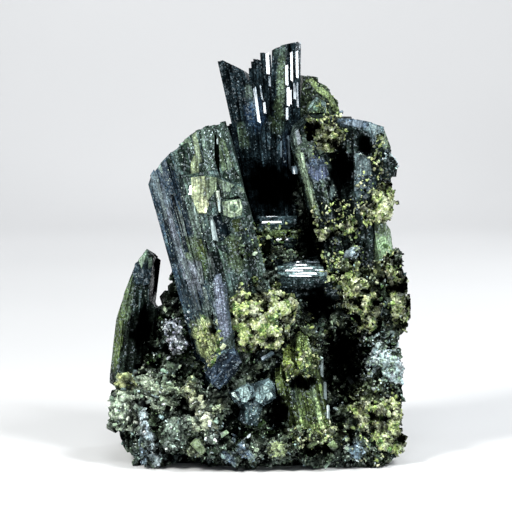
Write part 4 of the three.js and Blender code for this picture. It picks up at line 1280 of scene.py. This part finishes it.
# Lumps and crystals of the rock: x and z of the middle as seen from the front, half
# width, half height, lean, how far they stand out, boxiness and colour.
LUMPS = [
    (-27, 10.9, 3, 3.9, 0, 0.3, 2.6, (0.36, 0.44, 0.33)),
    (-27.2, 17.2, 2.7, 2.3, 8, 0.3, 4, (0.3, 0.34, 0.16)),
    (-21.4, 16.4, 0.9, 3.6, -58, 0.3, 5, (0.25, 0.3, 0.22)),
    (-19.4, 13.9, 0.8, 4.4, -56, 0.2, 5, (0.2, 0.24, 0.17)),
    (-21.6, 13.2, 0.7, 3, -52, 0.3, 5, (0.26, 0.31, 0.24)),
    (-17, 15.6, 0.8, 2.6, -60, 0.2, 5, (0.16, 0.2, 0.13)),
    (-17.6, 11.4, 0.8, 2.6, -44, 0.3, 5, (0.15, 0.19, 0.14)),
    (-22.7, 9.2, 0.9, 3, -10, 0.5, 6, (0.4, 0.48, 0.49)),
    (-21.5, 6.6, 0.7, 3, -18, 0.3, 6, (0.24, 0.3, 0.33)),
    (-20.9, 3.2, 1.2, 2.8, -14, 0.5, 6, (0.34, 0.42, 0.44)),
    (-22.8, 3.2, 0.7, 2.6, -6, 0.3, 5, (0.12, 0.165, 0.2)),
    (-13.8, 15.4, 1.2, 1.4, -20, 0.2, 3, (0.34, 0.38, 0.22)),
    (-12, 12.8, 1.5, 1.5, -36, 0.2, 3, (0.42, 0.46, 0.32)),
    (-10.4, 10.2, 1.3, 1.6, -24, 0.2, 3, (0.44, 0.48, 0.34)),
    (-12.6, 9.4, 1.4, 1.2, 20, 0.2, 3, (0.3, 0.34, 0.24)),
    (-8.4, 12.2, 0.9, 1, 0, 0.2, 3, (0.24, 0.29, 0.18)),
    (-14.4, 10, 1, 1.3, 0, 0.3, 2.6, (0.2, 0.25, 0.2)),
    (-17.4, 5, 1.3, 1.1, 0, 0.3, 2.4, (0.3, 0.37, 0.32)),
    (-9.2, 7, 1, 1.3, 0, 0.4, 2.4, (0.42, 0.52, 0.46)),
    (-12.6, 4.6, 1.8, 1.6, 0, 0.3, 2.4, (0.16, 0.19, 0.12)),
    (-16.6, 8, 2.2, 2.4, 0, 0.2, 2.6, (0.13, 0.17, 0.14)),
    (-3, 4.4, 0.9, 2.6, -50, 0.3, 5, (0.12, 0.17, 0.22)),
    (-6, 3, 0.8, 2.2, -60, 0.3, 5, (0.1, 0.14, 0.18)),
    (18.6, 4, 1.5, 2, -36, 0.3, 5, (0.13, 0.19, 0.24)),
    (3.4, 4.6, 2, 1.4, 0, 0.3, 3, (0.26, 0.32, 0.16)),
    (18.3, 41.8, 0.9, 1.4, 8, 0.6, 5, (0.22, 0.28, 0.32)),
]
YELLOW_ZONES = [
    ((-9.5, -14, 20), (2.4, 5, 4.4)),
    ((11.5, -15, 7), (6, 5, 2.6)),
    ((2, -8, 46), (7, 7, 3.2)),
    ((17, -9, 40), (5, 6, 3)),
    ((22, -9, 42), (5, 6, 5)),
    ((9, -12, 24), (3.4, 6, 3)),
    ((20, -12, 14), (5, 6, 4)),
]
PALE_ZONES = [
    ((-9, -15, 13), (3, 6, 3)),
    ((2, -18, 3), (5, 5, 3)),
    ((18, -13, 3), (4, 6, 3)),
]


# Facets that a surface is broken into: spacing, tilt and depth.
LUMP_FACETS = (1.1, 0.3, 0.35)
ROCK_FACETS, ROCK_CHIPS = (3.0, 0.35, 1.0), (1.1, 0.5, 0.5)


def lump_on(tree, box, out, square, seed):
    """A lump as a faceted, rounded body, seated on the surface behind its middle, or None
    where there is no surface. Out is how far it stands out, and square how boxy it is."""
    x, z, half_width, half_height, lean = box
    front = depth_at(tree, x, z)
    if front is None:
        return None
    bm = bmesh.new()
    bmesh.ops.create_icosphere(bm, subdivisions=4, radius=1)
    co, tris = arrays_of(bm)
    co = co / ((np.abs(co) ** square).sum(1) ** (1 / square))[:, None]
    deep = min(half_width, half_height) * 1.3
    turn = math.radians(lean)
    u, v, w = co[:, 0] * half_width, co[:, 1] * deep, co[:, 2] * half_height
    placed = np.c_[
        x + u * math.cos(turn) + w * math.sin(turn),
        front - out + deep + v,
        z - u * math.sin(turn) + w * math.cos(turn),
    ]
    return chipped(placed, tris, *LUMP_FACETS, seed), tris


def rock_ground(co):
    """The rock's colour at each point, without the difference from grain to grain."""
    paint = np.tile(np.array(GREY_GREEN), (len(co), 1))
    paint = blend(paint, blotches(co, 5.0, 11.0, 3, 1.3), OLIVE_DARK)
    paint = blend(paint, blotches(co, 3.5, 21.0, 3, 1.7), STEEL)
    paint = blend(paint, blotches(co, 2.4, 31.0, 4, 2.3) * 0.7, SAGE)
    for zones, strength, colour in (
        (YELLOW_ZONES, 0.8, (0.17, 0.22, 0.09)),
        (PALE_ZONES, 0.7, (0.24, 0.31, 0.25)),
    ):
        for centre, radii in zones:
            paint = blend(paint, zone(co, centre, radii, 0.5, 0.8) * strength, colour)
    gaps = blotches(co, 1.7, 41.0, 5, 1.5, 0.1) * blotches(co, 3.6, 51.0, 4, 0.9, 0.25)
    paint = paint * gaps[:, None] * (1 + 0.9 * clamped(co[:, 1:2] / 6 - 0.3))
    mottle = blotches(co, 1.3, 71.0, 4, 1.1, 0.12, 1.5)[:, None]
    ragged = uneven(co, 1.6, 81.0, 0.9)
    for *box, _, _, colour in LUMPS:
        amount = (patch(co, box, ragged) * (co[:, 1] < ROCK_FRONT) * 0.9)[:, None]
        paint = paint * (1 - amount) + np.array(colour) * mottle * amount
    return paint


def rock_colours(rng, co, contrast, pale_share):
    """A colour for each grain of the rock: the ground's, lighter or darker."""
    calm = np.ones((len(co), 1))
    for *box, _, _, _ in LUMPS:
        calm[(np.hypot(*in_box(co, *box)) < 1.1) & (co[:, 1] < ROCK_FRONT)] = 0.6
    tone = np.exp(rng.normal(0, contrast, (len(co), 1)) * calm)
    paint = rock_ground(co) * np.minimum(tone, 1.4 + 2.4 * contrast)
    paint = paint * rng.uniform(0.93, 1.07, (len(co), 3))
    pale = rng.uniform(0, 1, len(co)) < pale_share
    paint[pale] = pick(rng, pale.sum(), [(1, MIST), (1, SAGE), (0.6, ICE)])
    return np.minimum(paint, 0.8)


# Every solid as one tree, to tell what is covered.
WHOLE = surface_tree(*stacked([cad_arrays(node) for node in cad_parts]))


def seen(rng, spots, normals, room=2.5):
    """Which spots have open space above them in at least one of four directions."""
    keep = np.zeros(len(spots), bool)
    for i, (spot, normal) in enumerate(zip(spots, normals)):
        for _ in range(4):
            way = normal + 0.8 * rng.normal(size=3)
            way = way / np.linalg.norm(way)
            if way @ normal < 0.1:
                continue
            hit = WHOLE.ray_cast(Vector(spot + normal * 0.9 + way * 0.3), Vector(way), room)
            if hit[0] is None:
                keep[i] = True
                break
    return keep


def spread(rng, co, tris, spacing, gap, floor):
    """Spots for grains on the rock, above the floor, clear of the crystals by the gap and
    not covered."""
    spots, normals = sample(rng, co, tris, spacing)
    keep = (spots[:, 2] > floor) & clear_of_crystals(spots, gap)
    spots, normals = spots[keep], normals[keep]
    keep = seen(rng, spots, normals)
    return spots[keep], normals[keep]


def layer(rng, surface, where, tones, grains, back=1):
    """Grains of one kind on the rock. Where is their spacing, their gap from the crystals
    and their lowest height, tones their contrast and the share of pale ones, and back the
    share that is kept at the back."""
    spots, normals = spread(rng, *surface, *where)
    if back < 1:
        keep = (normals[:, 1] < 0.15) | (rng.uniform(0, 1, len(spots)) < back)
        spots, normals = spots[keep], normals[keep]
    return strew(rng, spots, normals, *grains, rock_colours(rng, spots, *tones))


BASE_BAND = 0.3  # the rock's own surface is kept up to this height
ROCK_NET, CRUST_NET = 0.6, 0.4  # voxels of the nets of the rock and the crusts
# Sizes, stretch, shapes, upright and sink of the rock's blocks and its smaller grains.
BIG = ((0.9, 2.2), (0.8, 2.2), CHIPS + BLOCKS + PRISMS, 0.3, 0.85)
MIDDLING = ((0.45, 1.0), (0.8, 2.6), CHIPS + BLOCKS, 0.5, 0.65)
SMALL = ((0.26, 0.6), (0.7, 2.2), SPLINTERS, 0.6, 0.45)

rng = np.random.default_rng(5)
co, tris = remeshed("rock", ROCK_NET)
chips = co
for seed, facets in ((31, ROCK_FACETS), (32, ROCK_CHIPS)):
    chips = chipped(chips, tris, *facets, seed)
flat = co[:, 2] < BASE_BAND
chips[flat] = co[flat]
tree = surface_tree(co, tris)
lumps = [
    lump_on(tree, box, out, square, 60 + number)
    for number, (*box, out, square, _) in enumerate(LUMPS)
]
body = stacked([(chips, tris), *filter(None, lumps)])
# Painted shade: the rock's own surface is painted dark under its grains; the lumps on it are 2.4
# times brighter.
tone = np.exp(rng.normal(0, 0.35, (len(body[0]), 1))) * 0.35
tone[len(chips):] *= 2.4
rock = build("rock_body", *body, rock_ground(body[0]) * tone)
dress(rock, MATRIX, "rock", "rock")
BASES.append(body)
blocks = [
    layer(rng, (chips, tris), (4.2, 0.3, 2.4), (0.35, 0.0), BIG),
    layer(rng, body, (1.25, 0.2, 0.4), (0.8, 0.05), MIDDLING),
]
dress(build("rock_blocks", *merged(blocks)), MATRIX, "rock")
small = layer(rng, body, (0.62, 0.1, 0.4), (1.2, 0.08), SMALL, 0.4)
dress(build("rock_grains", *small), MATRIX, "rock")

# The bright faces are made here, so that they can stand on the rock too.
rng = np.random.default_rng(7)
tree = base_tree("centre_crust")
parts = []
for spans, normal, wobble, colour in BRIGHT_FACES:
    for span in spans:
        lean = np.array(normal) + rng.uniform(-wobble, wobble, 3)
        co, tris = bar_on(tree, span, lean)
        parts.append((co, tris, np.tile(colour, (len(co), 1))))
co, tris, paint = merged(parts)
dress(build("bright_faces", co, tris, paint, co), GLINT, "dark_crystal")

# ---- The crusts ----

GREEN = (CRUST, "green_crust", GREENS)
CRUSTS = {
    # node: its grains, how dark its gaps are painted as painted shade, how bright it is, and its
    # look
    "centre_crust": ("coarse", 0.07, 2.3, *GREEN),
    "block_crust": ("fine", 0.12, 1.0, *GREEN),
    "side_crust": ("coarse", 0.04, 2.9, *GREEN),
    "band_crust": ("coarse", 0.04, 3.1, *GREEN),
    "column_crust": ("coarse", 0.06, 3.1, *GREEN),
    "edge_crust": ("coarse", 0.06, 3.1, *GREEN),
    "lower_crust": ("fine", 0.12, 3.8, *GREEN),
    "pale_blue_crust": ("fine", 0.6, 6.0, BLUE_CRUST, "pale_crust", BLUES),
    "dark_knob": ("fine", 0.3, 4.5, MATRIX, "slate_crystal", KNOB_GREYS),
}
# Distance between a crust's clumps, then for its large and its small grains the distance
# between them, their sizes and how deep they sit.
GRAINS = {
    "coarse": (2.5, (1.1, (0.7, 1.4), 0.65), (0.64, (0.4, 0.85), 0.5)),
    "fine": (2.0, (0.9, (0.6, 1.1), 0.65), (0.58, (0.35, 0.7), 0.5)),
}

# Zones of the crusts that are darker or brighter: middle, radii and factor.
TONES = [
    ((8.2, -13, 33), (3, 8, 4.6), 0.4),
    ((4, -13, 39.4), (3.4, 8, 1.8), 0.45),
    ((-3.6, -14, 28.6), (3.4, 8, 4), 1.25),
    ((25.6, -6, 27.6), (3.6, 8, 2.6), 0.2),
    ((23.2, -6, 38.6), (2.2, 6, 2), 0.2),
    ((23, -6, 31.6), (1.2, 6, 3), 0.15),
    ((26.2, -6, 33.6), (2.4, 6, 2.6), 1.5),
    ((17, -7, 37.6), (2.4, 6, 2.4), 1.3),
    ((19.2, -7, 33.6), (1.8, 6, 2.4), 1.5),
    ((20.8, -7, 29.6), (1.6, 6, 3), 1.5),
    ((15.6, -6, 32), (2.2, 6, 4), 0.25),
    ((26.6, -4, 38.8), (2.2, 6, 2.4), 1.3),
    ((15.4, -8, 48), (3.4, 6, 2.6), 1.1),
    ((20.4, -8, 15.2), (4.4, 8, 1.6), 0.55),
    ((22.6, -10, 7.6), (5, 8, 1.8), 1.6),
    ((25, -8, 2.6), (3.6, 8, 2.4), 1.35),
    ((18.6, -10, 8.4), (1.4, 8, 2.4), 0.5),
]


def toned(spots, ragged):
    """How bright the grains at these spots are. Ragged ones are in clusters with dark
    gaps."""
    out = np.ones(len(spots))
    if ragged:
        out = blotches(spots, 2.1, 61.0, 5.5, 1.7, 0.04, 1.3)
    for centre, radii, factor in TONES:
        out = out * (1 + (factor - 1) * zone(spots, centre, radii, 0.4, 0.8))
    return out[:, None]


SUNK = 1.7  # how far below the solid's surface the gaps between clumps lie


def clumped(rng, co, tris, spacing):
    """A surface sunk and raised again in round clumps, with how high each corner lies,
    from 0 in the gaps to 1 on the clumps."""
    normals = corner_normals(co, tris)
    centres, _ = sample(rng, co, tris, spacing)
    radii = rng.uniform(0.5, 0.85, len(centres)) * spacing
    tree = point_tree(centres)
    lift = np.zeros(len(co))
    for i, p in enumerate(co):
        for _, k, far in tree.find_range(p, spacing * 0.85):
            lift[i] = max(lift[i], math.sqrt(max(radii[k] ** 2 - far**2, 0)))
    high = lift / max(lift.max(), 1e-6)
    return co + normals * (-SUNK + high * (SUNK - 0.35))[:, None], high


def crusted(rng, co, tris, palette, kind, darkest_gap_shade, bright):
    """A crust of grains on a surface, as parts that can be merged."""
    clumps, *grains = GRAINS[kind]
    base, high = clumped(rng, co, tris, clumps)
    ragged = darkest_gap_shade < 0.2
    ground = alike(rng, base, palette) * bright * toned(base, ragged)
    # Painted shade: the surface under the grains is darker, most of all in the gaps between
    # clumps.
    ground = softened(ground * np.clip(high[:, None] * 1.6 - 0.5, darkest_gap_shade * 0.2, 0.6))
    parts = [(base, tris, ground)]
    tree = point_tree(base)
    for spacing, sizes, sink in grains:
        spots, outward = sample(rng, base, tris, spacing)
        near = np.array([tree.find(p)[1] for p in spots])
        # Painted shade: grains in the gaps between clumps are darker too.
        tone = np.clip(high[near][:, None] * 2.6 - 0.7, darkest_gap_shade, 1.1) * toned(spots, ragged)
        colours = softened(alike(rng, spots, palette) * tone * bright)
        shapes = PRISMS + CHIPS
        parts.append(strew(rng, spots, outward, sizes, (0.8, 1.5), shapes, 1.0, sink, colours))
    return parts


for number, (node, look) in enumerate(CRUSTS.items()):
    kind, darkest_gap_shade, bright, surface, slot, palette = look
    rng = np.random.default_rng(200 + number)
    parts = crusted(rng, *remeshed(node, CRUST_NET), palette, kind, darkest_gap_shade, bright)
    dress(build(node + "_grains", *merged(parts)), surface, slot, node)


# Loose grains of the crusts, on whatever lies round them: middle, radii, density and
# palette.
SPRINKLES = [
    ((23.2, -7, 53.4), (3.6, 5, 5.2), 0.9, GREENS),
    ((16.2, -8, 48.6), (6.4, 5, 3.2), 0.9, GREENS),
    ((22.9, -7, 59.6), (1.2, 4, 1.6), 0.9, GREENS),
    ((23.7, -7, 63.2), (1.8, 4, 1), 0.7, GREENS),
    ((25.1, -6, 60.2), (1.8, 4, 2.2), 1, DARKS),
    ((12.9, -8, 65.2), (4.8, 4, 4.6), 1.1, GREENS),
    ((14.6, 4, 70), (2.4, 5, 5), 0.5, GREENS),
    ((19, -8, 32.4), (4.2, 6, 8), 0.8, GREENS),
    ((25, -4, 38), (3.2, 7, 4), 0.9, GREENS),
    ((28, -4, 30.6), (2.6, 6, 5.4), 0.9, GREENS),
    ((1.4, -6, 44), (7.4, 8, 3.4), 0.9, OLIVES),
    ((16, -6, 43), (4, 6, 5), 0.7, OLIVES),
    ((15.4, -7, 37.6), (2.8, 6, 3.4), 0.9, GREENS),
    ((-10, -12, 24.4), (3, 6, 5.2), 1.2, GREENS),
    ((6.9, -14, 21.2), (3, 5, 2.8), 1.2, GREENS),
    ((12.7, -13, 24), (2.2, 5, 3), 1.2, GREENS),
    ((11.5, -15, 6.8), (6, 5, 2.6), 0.9, GREENS),
    ((22.7, -9, 7.4), (6.4, 7, 8.6), 0.8, GREENS),
    ((23.5, -11, 7), (2.8, 4, 1.2), 1, BLUES),
    ((9.8, -10, 27.6), (2.2, 6, 4.6), 0.9, OLIVES),
    ((23.8, -8, 20.8), (5, 6, 5.4), 1.3, BLUES),
    ((-16.8, -8, 25.4), (4.4, 6, 5.8), 0.9, KNOB_GREYS),
    ((-10, 15, 21), (7, 7, 6), 1.1, GREENS),
    ((13, 14, 33), (6, 7, 5), 1, GREENS),
    ((20, 15, 10), (6, 7, 6), 1, GREENS),
    ((2, 18, 6), (6, 6, 4), 0.8, BLUES),
    ((-20, 10, 8), (6, 8, 5), 0.9, GREENS),
    ((-4, 12, 41), (5, 6, 4), 0.5, OLIVES),
]

# Small lumps of crust on the crystals: x, z, half width, half height and brightness.
CRUST_LUMPS = [
    (-10.6, 25.6, 2.1, 3.4, 2.6),
    (-8.8, 21.6, 1.5, 1.5, 2.2),
    (6.9, 22, 2.3, 2.1, 3),
    (12.7, 25, 1.5, 2.2, 2.4),
    (22.8, 61.8, 1.4, 1.8, 1.5),
    (23.4, 64.6, 1.2, 0.9, 1.3),
    (12, 7.4, 3.2, 1.6, 2.6),
    (7.6, 7, 2.2, 1.4, 2.4),
    (18, 22.6, 1.5, 1.6, 1.6),
    (-3.6, 35.4, 1.6, 1.6, 2.2),
    (-0.4, 36.4, 2, 1.7, 2.2),
    (3, 35.4, 1.6, 1.4, 1.2),
]

# For the large and the small loose grains: distance between them, sizes, how deep they sit.
LOOSE = ((1.3, (0.6, 1.4), 0.6), (0.7, (0.3, 0.75), 0.45))


def sprinkled(rng, centre, radii, density, palette):
    """Loose grains in an ellipsoid, on every surface that runs through it."""
    ragged = palette is not BLUES
    bright = 1.8 if ragged else 3.4
    shapes = PRISMS + CHIPS
    parts = []
    for co, tris in BASES:
        middle = co[tris].mean(1)
        far = np.linalg.norm((middle - np.array(centre)) / (np.array(radii) + 1.0), axis=1)
        if not (far < 1).any():
            continue
        for spacing, sizes, sink in LOOSE:
            spots, normals = sample(rng, co, tris[far < 1], spacing)
            chance = zone(spots, centre, radii, 0.5, 1.2) * density
            keep = (rng.uniform(0, 1, len(spots)) < chance) & (spots[:, 2] > 0.6)
            spots, normals = spots[keep], normals[keep]
            keep = seen(rng, spots, normals, 2.0)
            spots, normals = spots[keep], normals[keep]
            if not len(spots):
                continue
            colours = softened(alike(rng, spots, palette) * bright * toned(spots, ragged))
            parts.append(
                strew(rng, spots, normals, sizes, (0.8, 1.5), shapes, 0.9, sink, colours, 0.5)
            )
    return parts


OUT, SQUARE = 0.8, 2.2  # how far the lumps of crust stand out, and how boxy they are

rng = np.random.default_rng(300)
parts = []
tree = base_tree()
for number, (*box, bright) in enumerate(CRUST_LUMPS):
    co, tris = lump_on(tree, (*box, 0), OUT, SQUARE, 90 + number)
    parts += crusted(rng, co, tris, GREENS, "fine", 0.3, bright)
for sprinkle in SPRINKLES:
    parts += sprinkled(rng, *sprinkle)
dress(build("loose_crust_grains", *merged(parts)), CRUST, "green_crust")

# ---- Floor, light and camera ----

# The floor runs from in front of the cluster to a bend behind it, and up a wall.
BEND, ROUND, BEND_STEPS = 500, 300, 24
FRONT_END, WALL_TOP, HALF_WIDTH = -900, 1500, 1500

profile = [(FRONT_END, 0)]
for i in range(BEND_STEPS + 1):
    turn = math.radians(90 * i / BEND_STEPS)
    profile.append((BEND + ROUND * math.sin(turn), ROUND - ROUND * math.cos(turn)))
profile.append((BEND + ROUND, WALL_TOP))
points = [[c * MM for c in (x, y, z)] for y, z in profile for x in (-HALF_WIDTH, HALF_WIDTH)]
faces = [(2 * i, 2 * i + 1, 2 * i + 3, 2 * i + 2) for i in range(len(profile) - 1)]
mesh = bpy.data.meshes.new("floor")
mesh.from_pydata(points, [], faces)
floor = bpy.data.objects.new("floor", mesh)
bpy.context.scene.collection.objects.link(floor)
for polygon in mesh.polygons:
    polygon.use_smooth = True
made, tree, shader = material("floor")
shade = curve(tree, noise_at(tree, places(tree), 3.0, 2.0), 0.3, 0.7, 0.56, 0.6)
tree.links.new(grey(tree, shade), shader.inputs["Base Color"])
shader.inputs["Roughness"].default_value = 0.75
mesh.materials.append(made)

world = bpy.data.worlds.new("studio")
world.use_nodes = True
bpy.context.scene.world = world
sky = world.node_tree.nodes["Background"]
sky.inputs[0].default_value = (0.72, 0.82, 1.0, 1.0)
sky.inputs[1].default_value = 0.1

LAMPS = [
    # name, place, what it lights, width and height, power in watts, colour
    ("key", (-270, -300, 360), (0, 0, 40), (100, 100), 3.5, (1.0, 1.0, 0.97)),
    ("side", (360, 240, 160), (0, 0, 60), (60, 260), 1.0, (0.92, 0.96, 1.0)),
    ("right", (275, -412, 75), (0, 0, 50), (80, 110), 0.6, (0.95, 0.98, 1.0)),
    ("high", (250, -200, 380), (0, 0, 35), (120, 120), 2.4, (0.97, 0.99, 1.0)),
    ("top", (0, -290, 420), (0, 0, 40), (160, 60), 0.8, (0.95, 0.98, 1.0)),
    ("left", (-420, -20, 120), (0, 0, 50), (120, 260), 0.35, (0.8, 0.9, 1.0)),
    ("backdrop", (0, 330, 520), (0, 780, 120), (700, 120), 3.0, (0.97, 0.98, 1.0)),
]
for name, place, aim, size, power, colour in LAMPS:
    data = bpy.data.lights.new(name, "AREA")
    data.shape = "RECTANGLE"
    data.size, data.size_y = size[0] * MM, size[1] * MM
    data.energy = power
    data.color = colour
    lamp = bpy.data.objects.new(name, data)
    lamp.location = Vector(place) * MM
    way = Vector(aim) - Vector(place)
    lamp.rotation_euler = way.to_track_quat("-Z", "Y").to_euler()
    bpy.context.scene.collection.objects.link(lamp)

AIM, AWAY, RAISED = Vector((-0.8, 0, 40.5)), 426.7, 6  # mm, mm and degrees
lens = bpy.data.cameras.new("camera")
lens.lens = 150
lens.sensor_width = 36
lens.clip_start, lens.clip_end = 0.01, 10
camera = bpy.data.objects.new("camera", lens)
bpy.context.scene.collection.objects.link(camera)
bpy.context.scene.camera = camera
away = Vector((0, -math.cos(math.radians(RAISED)), math.sin(math.radians(RAISED))))
camera.location = (AIM + away * AWAY) * MM
camera.rotation_euler = (-away).to_track_quat("-Z", "Y").to_euler()
bpy.context.scene.view_settings.view_transform = "Standard"
